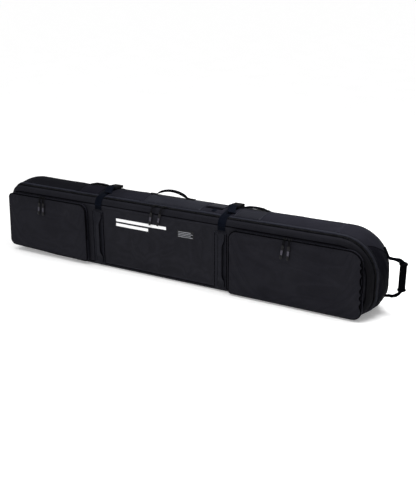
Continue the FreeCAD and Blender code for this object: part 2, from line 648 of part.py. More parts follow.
END_AXIS = (824.0, HANDLE_Y)    # x and y of the upright line that the pull handle swings about
END_W, END_T = 26.0, 3.0
END_NECK, END_NECK_L = 8.0, 10.0
END_Z = (62.0, 204.0)           # lower and upper outside of the webbing loop at the anchors
END_GAP = 4.4                   # in x from the stubs to the loop
END_SLOPES = (7.0, 1.0)         # that the lower leg rises and the upper leg falls to the bends
END_BENDS = (13.0, 7.0)         # height of the lower and of the upper bend
BEND_X = 12.0                   # from the grip's middle to the start of a bend
GRIP_X, GRIP_R, GRIP_L = 860.0, 10.5, 104.0
GRIP_MID = 142.0
COLLAR_R, COLLAR_L = 13.0, 7.0
SLOT_ROOM = (0.7, 0.4)          # round the webbing inside the grip, through it and across it
CHEEK_HALF_X, CHEEK_PROUD = 6.0, 2.4
TAIL_T, TAIL_X0 = 2.0, 726.0
TAILS = (34.0, 38.0)            # length of the lower and of the upper sewn tail


def end_web():
    """Webbing loop of the pull handle, folded narrow where it leaves each anchor."""
    y0, y1 = HANDLE_Y - END_W / 2, HANDLE_Y + END_W / 2
    x0, bend, half, t = END_AXIS[0] + 1.0, GRIP_X - BEND_X, END_T / 2, END_T
    low, high = END_Z
    rise, fall = END_SLOPES
    turn_low, turn_high = END_BENDS
    out = [(x0, high), (bend, high - fall), (GRIP_X + half, high - fall - turn_high),
           (GRIP_X + half, low + rise + turn_low), (bend, low + rise), (x0, low)]
    inner = [(x0, low + t), (bend - half, low + rise + t),
             (GRIP_X - half, low + rise + turn_low + half),
             (GRIP_X - half, high - fall - turn_high - half), (bend - half, high - fall - t),
             (x0, high - t)]
    wire = Part.makePolygon([V(x, y0, z) for x, z in out + inner + out[:1]])
    loop = Part.Face(wire).extrude(V(0, y1 - y0, 0))
    for y_from, y_to in ((y0 - 1, HANDLE_Y - END_NECK / 2), (HANDLE_Y + END_NECK / 2, y1 + 1)):
        loop = loop.cut(box(x0 - 1, x0 + END_NECK_L, y_from, y_to, 0, CROWN_Z))
    return loop


def end_grip():
    """Moulded sleeve round the webbing of the pull handle."""
    z0, z1 = GRIP_MID - GRIP_L / 2, GRIP_MID + GRIP_L / 2
    y0, y1 = HANDLE_Y - END_W / 2, HANDLE_Y + END_W / 2
    sleeve = Part.makeCylinder(GRIP_R, GRIP_L, V(GRIP_X, HANDLE_Y, z0))
    for z in (z0, z1 - COLLAR_L):
        sleeve = sleeve.fuse(Part.makeCylinder(COLLAR_R, COLLAR_L, V(GRIP_X, HANDLE_Y, z)))
    through, across = SLOT_ROOM
    slot = box(GRIP_X - END_T / 2 - through, GRIP_X + END_T / 2 + through, y0 - across, y1 + across,
               z0 - 1, z1 + 1)
    cheeks = box(GRIP_X - CHEEK_HALF_X, GRIP_X + CHEEK_HALF_X, y0 - CHEEK_PROUD, y1 + CHEEK_PROUD,
                 z0, z1)
    return sleeve.fuse(cheeks).removeSplitter().cut(slot)


def end_anchors():
    """Webbing ends sewn to the round end, with the stubs that the loop leaves from."""
    y0, y1 = HANDLE_Y - END_W / 2, HANDLE_Y + END_W / 2
    skin, sewn = bag_form(-SKIN_GAP), bag_form(-SKIN_GAP - TAIL_T)
    tail_x1, stub_x1 = HANDLE_END_X + END_T, END_AXIS[0] + 1.0 - END_GAP
    (low, high), (down, up) = END_Z, TAILS
    made = []
    for z, from_z, to_z in ((high - END_T, high - END_T, high - END_T + up),
                            (low, low - down, low + END_T)):
        stub = box(TAIL_X0, stub_x1, y0, y1, z, z + END_T)
        tail = box(TAIL_X0, tail_x1, y0, y1, from_z, to_z)
        made.append(fused([stub, tail.common(sewn)]).cut(skin))
    return Part.Compound(made)


WINDOW_X, WINDOW_Y = (108.0, 180.0), (-22.0, 30.0)
WINDOW_RIM, WINDOW_FIT = 5.0, 0.3
WINDOW_T, CARD_T = 1.8, 0.8


def id_window():
    """Frame and card of the address window on the top gusset."""
    def plate(thickness, inset):
        (x0, x1), (y0, y1) = WINDOW_X, WINDOW_Y
        skin = section_skin(SKIN_GAP, SKIN_GAP + thickness, x0 + inset, x1 - inset)
        return skin.common(box(-BIG, BIG, y0 + inset, y1 - inset, MID_Z, BIG))

    opening = plate(BIG / 100, WINDOW_RIM)
    return plate(WINDOW_T, 0.0).cut(opening), plate(CARD_T, WINDOW_RIM + WINDOW_FIT)


# ---- assembly ----------------------------------------------------------------------------
def build():
    """Every node of the bag by name."""
    nodes = shell_and_lid()
    nodes["stiffener_board"] = stiffener_board()
    nodes["wheel_housing"] = wheel_housing()
    nodes["wheel_axles"] = wheel_axles()
    for name, z in zip(("lower", "upper"), WHEEL_Z):
        tyre, hub, bearings = wheel(z)
        nodes[f"{name}_wheel_tyre"] = tyre
        nodes[f"{name}_wheel_hub"] = hub
        nodes[f"{name}_wheel_bearings"] = bearings
    nodes["skid_rails"], nodes["skid_rail_rivets"] = skid_rails()

    for name, x in zip(("left", "right"), STRAP_X):
        nodes[f"{name}_strap_front"] = strap_front(x)
        nodes[f"{name}_strap_rear"] = strap_rear(x)
        nodes[f"{name}_buckle_socket"] = buckle_socket(x)
        nodes[f"{name}_buckle_tongue"] = buckle_tongue(x)
        nodes[f"{name}_lash_band"] = lash_band(x)
        nodes[f"{name}_side_handle"] = side_handle(x)
        frame, flap = pocket(POCKETS[name])
        nodes[f"{name}_pocket_gusset"] = frame
        nodes[f"{name}_pocket_flap"] = flap

    zip_turn = math.degrees(math.acos((FRONT_Y + FRONT_R - ZIP_Y) / FRONT_R))
    seats = {"main": (ZIP_Y, top_z(ZIP_Y), 90 - zip_turn, FRONT_Y - MAIN_PULL_OUT, MAIN_SWINGS)}
    for name, spec in POCKETS.items():
        y, z1 = FRONT_Y - spec["depth"] - POCKET_SEAT_OUT, spec["corners"][0][1]
        hang = y - POCKET_T - POCKET_PULL_OUT
        seats[f"{name}_pocket"] = (y, z1 + POCKET_SEAT_UP, 0.0, hang, POCKET_SWINGS)
    for name, (y, z, lean, hang, swings) in seats.items():
        for side, x, swing in zip(("a", "b"), SLIDERS[name], swings):
            nodes[f"{name}_slider_{side}"] = slider_at(x, y, z, lean)
            nodes[f"{name}_pull_{side}"] = pull_at(x, pivot_of(y, z, lean), hang, PULL_DROP, swing)

    nodes["handle_patches"] = handle_patches()
    for name, (x, span, rise) in HANDLES.items():
        y0, y1 = HANDLE_Y - HANDLE_W / 2, HANDLE_Y + HANDLE_W / 2
        nodes[f"{name}_top_handle"] = arch(x, span, rise, HANDLE_AXIS_Z, HANDLE_T, y0, y1)
    nodes["pull_handle_web"] = end_web()
    nodes["pull_handle_grip"] = end_grip()
    nodes["pull_handle_anchors"] = end_anchors()
    nodes["address_frame"], nodes["address_card"] = id_window()
    return nodes


def main():
    os.makedirs("parts", exist_ok=True)
    for old in os.listdir("parts"):
        if old.endswith(".step"):
            os.remove(os.path.join("parts", old))
    for name, shape in build().items():
        solids = shape.Solids[0] if len(shape.Solids) == 1 else Part.Compound(shape.Solids)
        valid = bool(shape.Solids) and all(s.isValid() for s in shape.Solids)
        print(f"{name:26s} solids {len(shape.Solids)}, valid {valid}, {solids.Volume / 1000:.1f} cm3")
        solids.exportStep(os.path.join("parts", name + ".step"))


main()
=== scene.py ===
"""Looks of the wheeled snowboard bag: sewn panels, zips, webbing, buckles and wheels.

Metres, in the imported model's frame: +X to the pull handle, -Y out of the lid, +Z up.
"""

import math
import bpy
import bmesh
import numpy as np
from mathutils import Vector, Matrix, noise
from mathutils.bvhtree import BVHTree


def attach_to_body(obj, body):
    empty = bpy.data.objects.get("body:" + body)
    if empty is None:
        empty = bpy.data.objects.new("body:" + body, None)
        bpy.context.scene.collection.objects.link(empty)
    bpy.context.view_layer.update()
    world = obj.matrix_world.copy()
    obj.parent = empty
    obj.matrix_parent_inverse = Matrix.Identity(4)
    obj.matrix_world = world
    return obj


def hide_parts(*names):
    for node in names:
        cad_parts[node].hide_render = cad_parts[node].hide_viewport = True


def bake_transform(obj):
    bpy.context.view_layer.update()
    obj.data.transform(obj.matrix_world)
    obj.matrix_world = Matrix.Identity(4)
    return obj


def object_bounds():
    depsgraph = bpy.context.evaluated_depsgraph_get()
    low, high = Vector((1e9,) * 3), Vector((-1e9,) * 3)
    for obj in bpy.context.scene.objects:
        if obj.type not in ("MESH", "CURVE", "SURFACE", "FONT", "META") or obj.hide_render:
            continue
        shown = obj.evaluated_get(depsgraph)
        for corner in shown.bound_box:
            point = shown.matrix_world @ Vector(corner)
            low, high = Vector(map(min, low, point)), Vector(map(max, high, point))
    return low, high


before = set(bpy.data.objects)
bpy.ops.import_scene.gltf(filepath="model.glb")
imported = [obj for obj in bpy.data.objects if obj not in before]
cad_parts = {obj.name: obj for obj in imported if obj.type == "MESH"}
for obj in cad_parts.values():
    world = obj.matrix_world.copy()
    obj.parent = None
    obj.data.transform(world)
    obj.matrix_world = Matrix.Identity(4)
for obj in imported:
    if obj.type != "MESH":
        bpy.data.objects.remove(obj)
CAD_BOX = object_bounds()
bpy.context.scene.view_settings.view_transform = "Standard"

# ---- the bag's form, as the frame has it -------------------------------------------------
FRONT_Y, BACK_Y = -0.105, 0.105
WHEEL_END_X, HANDLE_END_X, CROWN_Z = -0.825, 0.816, 0.304
FRONT_R = 0.036
TOP_EDGE = dict(front_turn=74.0, crown_y=-0.006, rear_r=0.175, rear_turn=21.0)
ROUND_END = dict(front_turn=68.0, crown_y=-0.016, rear_r=0.165, rear_turn=27.0)
FLAT_FRONT_R, FLAT_BACK_R = 0.020, 0.030
CORNER_R = dict(tl=0.062, tr=0.150, br=0.105, bl=0.050)
LEAST_R = 0.012
LIFT_X, LIFT = -0.600, 0.009
ZIP_Y, ZIP_HALF = -0.085, 0.003
ZIP_LOW_Z = 0.034
STRAP_X = {"left": -0.354, "right": 0.213}
STRAP_W = 0.032
HANDLE_Y = 0.022
PATCH_X = {"rear": (-0.484, -0.384), "middle": (-0.166, 0.098), "front": (0.242, 0.352)}
HANDLE_X = {"rear": (-0.431, 0.080, 0.005), "middle": (-0.080, 0.132, 0.017),
            "front": (0.291, 0.084, 0.007)}
SIDES = ("left", "right")
PANEL_T, STITCH_OFF, BACK_SEAM_Y = 0.0026, 0.0002, 0.100


def clamp(value):
    """The value, kept between 0 and 1."""
    return min(max(value, 0.0), 1.0)


def eased(share):
    """A share from 0 to 1 with a soft start and a soft stop."""
    return share * share * (3 - 2 * share)


def edge_arcs(front_turn, crown_y, rear_r, rear_turn):
    """Arcs of an edge profile: centre y, centre inset, radius, first and last lean."""
    turn, back = math.radians(front_turn), math.radians(rear_turn)
    meet_y = FRONT_Y + FRONT_R * (1 - math.cos(turn))
    crown_r = (crown_y - meet_y) / math.cos(turn)
    front_inset = crown_r * (1 - math.sin(turn)) + FRONT_R * math.sin(turn)
    out_y = crown_y + rear_r * math.sin(back)
    back_r = (BACK_Y - out_y) / (1 - math.sin(back))
    back_inset = rear_r * (1 - math.cos(back)) + back_r * math.cos(back)
    lean = turn - math.pi / 2
    return [
        (FRONT_Y + FRONT_R, front_inset, FRONT_R, -math.pi / 2, lean),
        (crown_y, crown_r, crown_r, lean, 0.0),
        (crown_y, rear_r, rear_r, 0.0, back),
        (BACK_Y - back_r, back_inset, back_r, back, math.pi / 2),
    ]


TOP_ARCS, END_ARCS = edge_arcs(**TOP_EDGE), edge_arcs(**ROUND_END)


def edge_inset(arcs, y, depth=0.0):
    """How far an edge profile, moved inward by depth, lies inside the crown line at y."""
    for cy, ci, r, _, a1 in arcs:
        if y <= cy + (r - depth) * math.sin(a1) + 1e-7:
            return ci - math.sqrt(max((r - depth) ** 2 - (y - cy) ** 2, 0.0))
    return arcs[-1][1]


def flat_inset(y, depth=0.0):
    """The same for the flat bottom and the flat wheel end."""
    for r, gone in ((FLAT_FRONT_R, FRONT_Y + FLAT_FRONT_R - y),
                    (FLAT_BACK_R, y - BACK_Y + FLAT_BACK_R)):
        if gone > 0:
            return r - math.sqrt(max((r - depth) ** 2 - gone * gone, 0.0))
    return depth


def top_z(y, lift=0.0):
    """Height of the top gusset at y."""
    return CROWN_Z - edge_inset(TOP_ARCS, y, -lift)


class Ring:
    """The bag's outline in the plane of one y, as a rounded rectangle with a lifted corner."""

    def __init__(self, y, depth=0.0):
        y = min(max(y, FRONT_Y + depth), BACK_Y - depth)
        top, end = edge_inset(TOP_ARCS, y, depth), edge_inset(END_ARCS, y, depth)
        flat = flat_inset(y, depth)
        self.y = y
        self.x0, self.x1 = WHEEL_END_X + flat, HANDLE_END_X - end
        self.z0, self.z1 = flat, CROWN_Z - top
        self.tl = max(CORNER_R["tl"] - 0.5 * (top + flat), LEAST_R)
        self.tr = max(CORNER_R["tr"] - 0.5 * (top + end), LEAST_R)
        self.br = max(CORNER_R["br"] - 0.5 * (end + flat), LEAST_R)
        self.bl = max(CORNER_R["bl"] - flat, LEAST_R)

    def low(self, x):
        """Lowest z of the outline at x."""
        if x < self.x0 + self.bl:
            gone = self.x0 + self.bl - x
            return self.z0 + LIFT + self.bl - math.sqrt(max(self.bl ** 2 - gone ** 2, 0.0))
        if x < LIFT_X:
            share = (LIFT_X - x) / (LIFT_X - self.x0 - self.bl)
            return self.z0 + LIFT * share
        if x > self.x1 - self.br:
            gone = x - self.x1 + self.br
            return self.z0 + self.br - math.sqrt(max(self.br ** 2 - gone ** 2, 0.0))
        return self.z0

    def high(self, x):
        """Highest z of the outline at x."""
        for r, gone in ((self.tl, self.x0 + self.tl - x), (self.tr, x - self.x1 + self.tr)):
            if gone > 0:
                return self.z1 - r + math.sqrt(max(r * r - gone * gone, 0.0))
        return self.z1

    def at(self, side, f):
        """Point at a share f of one side; the sides run clockwise from the foot of the left."""
        x0, x1, z0, z1 = self.x0, self.x1, self.z0, self.z1
        lines = {
            "left": ((x0, z0 + LIFT + self.bl), (x0, z1 - self.tl)),
            "top": ((x0 + self.tl, z1), (x1 - self.tr, z1)),
            "right": ((x1, z1 - self.tr), (x1, z0 + self.br)),
            "bottom": ((x1 - self.br, z0), (LIFT_X, z0)),
            "rise": ((LIFT_X, z0), (x0 + self.bl, z0 + LIFT)),
        }
        arcs = {
            "top_left": (x0 + self.tl, z1 - self.tl, self.tl, 180),
            "top_right": (x1 - self.tr, z1 - self.tr, self.tr, 90),
            "bottom_right": (x1 - self.br, z0 + self.br, self.br, 0),
            "bottom_left": (x0 + self.bl, z0 + LIFT + self.bl, self.bl, -90),
        }
        if side in lines:
            (ax, az), (bx, bz) = lines[side]
            return (ax + (bx - ax) * f, self.y, az + (bz - az) * f)
        cx, cz, r, start = arcs[side]
        a = math.radians(start - 90 * f)
        return (cx + r * math.cos(a), self.y, cz + r * math.sin(a))


ROUND = ("left", "top_left", "top", "top_right", "right", "bottom_right", "bottom", "rise",
         "bottom_left")


def samples(step):
    """(side, share) places round the bag about one step apart, measured at the zip."""
    ring = Ring(ZIP_Y)
    out = []
    for side in ROUND:
        pts = [Vector(ring.at(side, i / 8)) for i in range(9)]
        length = sum((b - a).length for a, b in zip(pts, pts[1:]))
        n = max(2, round(length / step))
        out += [(side, i / n) for i in range(n)]
    return out


def between(ring_samples, start, stop):
    """The run of samples from one side's share to another's, ends included."""
    def key(place):
        return ROUND.index(place[0]) + place[1]

    return [start] + [s for s in ring_samples if key(start) < key(s) < key(stop)] + [stop]


# ---- cloth: creases that panels carry ----------------------------------------------------
def rough(p, size, seed=0.0):
    """Smooth random value, about -1 to 1, that changes over one size."""
    return noise.noise(Vector((p[0] / size + seed, p[1] / size - seed, p[2] / size + 2 * seed)))


def creases(p, along=0, seed=0.0, gain=1.0):
    """Slack of a padded panel: broad waves, longer folds, and a little fine crumple."""
    stretch = [0.11, 0.11, 0.11]
    stretch[along] = 0.34
    q = Vector((p[0] / stretch[0] + seed, p[1] / stretch[1], p[2] / stretch[2] - seed))
    fold = 1.0 - abs(noise.noise(q * 1.7)) * 2.4
    fold = max(fold, 0.0) ** 3
    wave = noise.noise(q * 0.8 + Vector((7.1, 3.3, 1.9)))
    fine = rough(p, 0.017, seed) * 0.30 + rough(p, 0.035, seed + 3.0) * 0.55
    return gain * (0.0016 * wave + 0.0011 * fold + 0.0006 * fine)


def pucker(along, off, seed=0.0, pitch=0.016, reach=0.012):
    """Gathers that a seam pulls into the fabric beside it."""
    ripple = noise.noise(Vector((along / pitch, seed, 0.0)))
    ripple += 0.5 * noise.noise(Vector((along / pitch * 2.3, seed + 5.0, 0.0)))
    return ripple * math.exp(-abs(off) / reach)


# ---- mesh building -----------------------------------------------------------------------
def placed(name, data):
    """New object of some data, in the scene."""
    obj = bpy.data.objects.new(name, data)
    bpy.context.scene.collection.objects.link(obj)
    return obj


def finished(name, bm, material, smooth=True):
    """Mesh object with one material, from a bmesh that is freed here."""
    bmesh.ops.recalc_face_normals(bm, faces=bm.faces)
    mesh = bpy.data.meshes.new(name)
    bm.to_mesh(mesh)
    bm.free()
    for poly in mesh.polygons:
        poly.use_smooth = smooth
    mesh.materials.append(material)
    return placed(name, mesh)


def piece(name, verts, faces, material, smooth=True):
    """Mesh object with one material, from lists of points and faces."""
    draft = bpy.data.meshes.new("draft")
    draft.from_pydata([tuple(v) for v in verts], [], faces)
    draft.validate()
    bm = bmesh.new()
    bm.from_mesh(draft)
    bpy.data.meshes.remove(draft)
    bmesh.ops.remove_doubles(bm, verts=bm.verts, dist=1e-6)
    return finished(name, bm, material, smooth)


def grid_faces(rows, cols, wrap=False):
    """Quads of a grid, row by row; wrap joins its last column to its first."""
    faces = []
    for r in range(rows - 1):
        for c in range(cols if wrap else cols - 1):
            d = (c + 1) % cols
            faces.append((r * cols + c, r * cols + d, (r + 1) * cols + d, (r + 1) * cols + c))
    return faces


def normals_of(grid, wrap=False):
    """Unit normals of a grid of points, as an array of the same shape."""
    du = np.gradient(grid, axis=0)
    if wrap:
        dv = np.roll(grid, -1, axis=1) - np.roll(grid, 1, axis=1)
    else:
        dv = np.gradient(grid, axis=1)
    n = np.cross(du, dv)
    return n / np.maximum(np.linalg.norm(n, axis=2, keepdims=True), 1e-12)


def outward(grid, normals, centre=(0.0, 0.0, 0.14)):
    """Normals turned to point away from the middle of the bag."""
    away = grid - np.array(centre)
    away[..., 0] *= 0.15
    flip = np.sign((normals * away).sum(axis=2, keepdims=True))
    return normals * np.where(flip == 0, 1, flip)


def tube_faces(rows, ring):
    """Faces of a tube of rings of points, closed at both ends."""
    last = (rows - 1) * ring
    return grid_faces(rows, ring, wrap=True) + [tuple(range(ring - 1, -1, -1)),
                                                tuple(range(last, last + ring))]


def closed_sheet(name, outer, inner, material, wrap=False):
    """Sheet between two grids of points, shut along its edges."""
    rows, cols = len(outer), len(outer[0])
    base = rows * cols
    top = grid_faces(rows, cols, wrap)
    faces = top + [tuple(i + base for i in reversed(f)) for f in top]
    edges = [(r * cols + c, r * cols + (c + 1) % cols)
             for c in range(cols if wrap else cols - 1) for r in (0, rows - 1)]
    if not wrap:
        edges += [(r * cols + c, (r + 1) * cols + c)
                  for r in range(rows - 1) for c in (0, cols - 1)]
    faces += [(a, b, b + base, a + base) for a, b in edges]
    verts = [p for grid in (outer, inner) for row in grid for p in row]
    return piece(name, verts, faces, material)


def shell_piece(name, grid, lift, thick, material, wrap=False):
    """Sheet on a grid of points, pushed out by lift (an array) and thickened inward."""
    n = outward(grid, normals_of(grid, wrap))
    return closed_sheet(name, grid + n * lift[..., None], grid + n * (lift - thick)[..., None],
                        material, wrap)


def open_sheet(name, rows, material, thick, face=0, away=None):
    """Sheet through rows of points, thickened on the side away from a direction at one face."""
    sheet = piece(name, [p for row in rows for p in row],
                  grid_faces(len(rows), len(rows[0])), material)
    mod = sheet.modifiers.new("thick", "SOLIDIFY")
    mod.thickness = thick
    mod.offset = 0.0
    if away:
        mod.offset = -1.0 if sheet.data.polygons[face].normal.dot(Vector(away)) > 0 else 1.0
    return applied(sheet)


def ring_grid(ring_samples, ys, depth=0.0):
    """Grid of points on the bag's form, one row per y."""
    rows = []
    for y in ys:
        ring = Ring(y, depth)
        rows.append([ring.at(side, f) for side, f in ring_samples])
    return np.array(rows)


# ---- materials ---------------------------------------------------------------------------
WAVE = 0.314    # scale of a wave texture whose bands are one metre apart, near enough


class Nodes:
    """Short hand for building one node material."""

    def __init__(self, name):
        self.mat = bpy.data.materials.new(name)
        self.mat.use_nodes = True
        self.tree = self.mat.node_tree
        self.bsdf = self.tree.nodes["Principled BSDF"]
        self.coord = self.tree.nodes.new("ShaderNodeTexCoord").outputs["Object"]

    def node(self, kind, values=None, links=None, **attrs):
        """New node with its settings, input values and links."""
        n = self.tree.nodes.new(kind)
        for key, value in attrs.items():
            setattr(n, key, value)
        for key, value in (values or {}).items():
            n.inputs[key].default_value = value
        for key, value in (links or {}).items():
            self.tree.links.new(value, n.inputs[key])
        return n

    def noise(self, scale, detail=2.0, rough_=0.5, stretch=None):
        """Noise over the object's own place, stretched along its axes if asked."""
        vec = self.coord
        if stretch:
            vec = self.node("ShaderNodeMapping", {"Scale": stretch}, {"Vector": vec}).outputs[0]
        return self.node("ShaderNodeTexNoise",
                         {"Scale": scale, "Detail": detail, "Roughness": rough_},
                         {"Vector": vec}).outputs["Fac"]

    def weave(self, pitch):
        """Plain weave: three crossed sets of fine ribs, so that every face shows two of them."""
        waves = []
        for axis in ("X", "Y", "Z"):
            w = self.node("ShaderNodeTexWave",
                          {"Scale": WAVE / pitch, "Distortion": 0.4, "Detail": 1.0,
                           "Detail Scale": 3.0}, {"Vector": self.coord},
                          wave_type="BANDS", bands_direction=axis)
            waves.append(w.outputs["Fac"])
        whole = self.sum("ADD", self.sum("ADD", waves[0], waves[1]), waves[2])
        return self.node("ShaderNodeMath", {1: 1 / 3}, {0: whole},
                         operation="MULTIPLY").outputs[0]

    def sum(self, operation, a, b):
        """Result of one operation on two sockets."""
        return self.node("ShaderNodeMath", links={0: a, 1: b}, operation=operation).outputs[0]

    def ribs(self, pitch, axis):
        """Ribs square to one axis."""
        return self.node("ShaderNodeTexWave", {"Scale": WAVE / pitch, "Distortion": 0.3},
                         {"Vector": self.coord}, wave_type="BANDS",
                         bands_direction=axis).outputs["Fac"]

    def ramp(self, fac, *stops):
        """Colour or grey that changes over (place, value) stops."""
        n = self.node("ShaderNodeValToRGB", links={"Fac": fac})
        ramp = n.color_ramp
        while len(ramp.elements) < len(stops):
            ramp.elements.new(0.5)
        for element, (at, value) in zip(ramp.elements, stops):
            element.position = at
            element.color = (*(value if isinstance(value, tuple) else (value,) * 3), 1.0)
        return n.outputs["Color"]

    def mix(self, fac, a, b, blend="MIX"):
        """Colour mixed from two colours or links."""
        n = self.node("ShaderNodeMix", data_type="RGBA", blend_type=blend)
        for socket, value in ((n.inputs["Factor"], fac), (n.inputs[6], a), (n.inputs[7], b)):
            self.feed(socket, value)
        return n.outputs[2]

    def feed(self, socket, value):
        """Gives a socket a number, a colour or a link."""
        if isinstance(value, bpy.types.NodeSocket):
            self.tree.links.new(value, socket)
        else:
            socket.default_value = (*value, 1.0) if isinstance(value, tuple) else value

    def bump(self, *layers):
        """Stacked bumps: (height, strength, distance)."""
        last = None
        for height, strength, distance in layers:
            n = self.node("ShaderNodeBump", {"Strength": strength, "Distance": distance},
                          {"Height": height})
            if last:
                self.tree.links.new(last, n.inputs["Normal"])
            last = n.outputs[0]
        self.tree.links.new(last, self.bsdf.inputs["Normal"])

    def set(self, **sockets):
        """Numbers, colours or links on the shader; underscores stand for spaces."""
        for key, value in sockets.items():
            self.feed(self.bsdf.inputs[key.replace("_", " ")], value)
        return self.mat

    def worn_edges(self, colour, worn, reach=0.55):
        """Colour that rubs pale along sharp convex edges."""
        point = self.node("ShaderNodeNewGeometry").outputs["Pointiness"]
        fac = self.ramp(point, (0.50, 0.0), (0.50 + 0.1 * reach, 1.0))
        return self.mix(self.sum("MULTIPLY", fac, self.noise(60.0, 3.0)), colour, worn)


def fabric(name, dark, light, pitch=0.0011, rough_=0.72, sheen=0.012, along=None, spec=0.05):
    """Coated woven polyester: fine weave, cloudy shade, soft sheen; along is painted shade over X,
    darker where the bag's ends turn from the light.
    """
    n = Nodes(name)
    cloud = n.noise(9.0, 4.0, 0.6)
    threads = n.weave(pitch)
    slub = n.noise(420.0, 2.0, 0.6, stretch=(1.0, 1.0, 6.0))
    base = n.ramp(cloud, (0.30, dark), (0.72, light))
    base = n.mix(1.0, base, n.ramp(threads, (0.25, 0.72), (0.7, 1.0)), "MULTIPLY")
    # painted shade: the colour is darkened by place along X, standing for less light falling on the
    # bag's ends
    if along:
        x = n.node("ShaderNodeSeparateXYZ", links={0: n.coord}).outputs["X"]
        share = n.node("ShaderNodeMapRange", {"From Min": -SHADE_REACH, "From Max": SHADE_REACH},
                       {"Value": x}).outputs[0]
        stops = [((at + SHADE_REACH) / (2 * SHADE_REACH), depth) for at, depth in along]
        base = n.mix(1.0, base, n.ramp(share, *stops), "MULTIPLY")
    worn = tuple(min(1.0, c * 1.5 + 0.001) for c in light)
    base = n.worn_edges(base, worn, 0.9)
    roughness = n.ramp(cloud, (0.3, rough_ - 0.05), (0.7, rough_ + 0.07))
    n.bump((threads, 0.5, 0.00018), (slub, 0.25, 0.00010))
    return n.set(Base_Color=base, Roughness=roughness, Sheen_Weight=sheen, Sheen_Roughness=0.45,
                 Sheen_Tint=(0.5, 0.55, 0.7), Specular_IOR_Level=spec)


def webbing(name, dark, light, axis="X", pitch=0.0022, sheen=0.012, spec=0.06):
    """Nylon webbing: coarse ribs across, fine threads along."""
    n = Nodes(name)
    ribs = n.ribs(pitch, axis)
    threads = n.weave(0.0009)
    shade = n.ramp(n.noise(35.0, 3.0), (0.3, dark), (0.7, light))
    colour = n.mix(1.0, shade, n.ramp(ribs, (0.0, 0.6), (0.7, 1.0)), "MULTIPLY")
    roughness = n.ramp(n.noise(60.0), (0.3, 0.42), (0.7, 0.56))
    n.bump((ribs, 0.6, 0.0003), (threads, 0.4, 0.00015))
    return n.set(Base_Color=colour, Roughness=roughness, Sheen_Weight=sheen, Sheen_Roughness=0.4,
                 Sheen_Tint=(0.5, 0.55, 0.75), Specular_IOR_Level=spec)


def plastic(name, dark, light, rough_=0.38, grain=900.0, depth=0.00006, worn=None, spec=0.2):
    """Moulded plastic: fine spark grain, faint flow shade, rubbed edges."""
    n = Nodes(name)
    flow = n.noise(14.0, 3.0, 0.55)
    spark = n.noise(grain, 2.0, 0.7)
    base = n.ramp(flow, (0.3, dark), (0.7, light))
    base = n.worn_edges(base, worn or tuple(min(1.0, c * 2.2 + 0.02) for c in light))
    scuff = n.noise(55.0, 4.0, 0.65, stretch=(1.0, 0.35, 1.0))
    roughness = n.ramp(scuff, (0.35, rough_), (0.75, min(rough_ + 0.2, 0.9)))
    n.bump((spark, 0.35, depth))
    return n.set(Base_Color=base, Roughness=roughness, Specular_IOR_Level=spec)


def metal(name, dark, light, rough_=0.3):
    """Plated metal with a drawn finish and a little tarnish."""
    n = Nodes(name)
    tarnish = n.noise(90.0, 4.0, 0.6)
    drawn = n.noise(700.0, 2.0, 0.6, stretch=(1.0, 1.0, 12.0))
    base = n.ramp(tarnish, (0.35, dark), (0.7, light))
    roughness = n.ramp(drawn, (0.3, rough_), (0.7, rough_ + 0.18))
    n.bump((drawn, 0.3, 0.00004))
    return n.set(Base_Color=base, Roughness=roughness, Metallic=1.0)


def foam(name, dark, light):
    """Lining cloth quilted to foam."""
    n = Nodes(name)
    cells = n.node("ShaderNodeTexVoronoi", {"Scale": 420.0}, {"Vector": n.coord},
                   feature="F1").outputs["Distance"]
    cloud = n.noise(12.0, 3.0)
    base = n.ramp(cloud, (0.3, dark), (0.7, light))
    base = n.mix(1.0, base, n.ramp(cells, (0.1, 0.7), (0.6, 1.0)), "MULTIPLY")
    n.bump((cells, 0.5, 0.0003))
    return n.set(Base_Color=base, Roughness=0.8, Sheen_Weight=0.3)


def printed_card(name):
    """Paper card behind the window, with ruled lines for a name and address."""
    n = Nodes(name)
    fibre = n.noise(500.0, 3.0)
    paper = n.ramp(fibre, (0.3, (0.010, 0.010, 0.013)), (0.7, (0.016, 0.016, 0.020)))
    lines = n.ramp(n.ribs(0.011, "Y"), (0.93, 0.0), (0.97, 1.0))
    colour = n.mix(lines, paper, (0.05, 0.05, 0.06))
    n.bump((fibre, 0.3, 0.00005))
    return n.set(Base_Color=colour, Roughness=0.5, Specular_IOR_Level=0.04)


def ink(name, dark, light):
    """Rubber print on cloth, with the weave showing through."""
    n = Nodes(name)
    threads = n.weave(0.0011)
    cloud = n.noise(70.0, 4.0, 0.6)
    base = n.ramp(cloud, (0.3, dark), (0.6, light))
    n.bump((threads, 0.35, 0.00015))
    return n.set(Base_Color=base, Roughness=0.45)
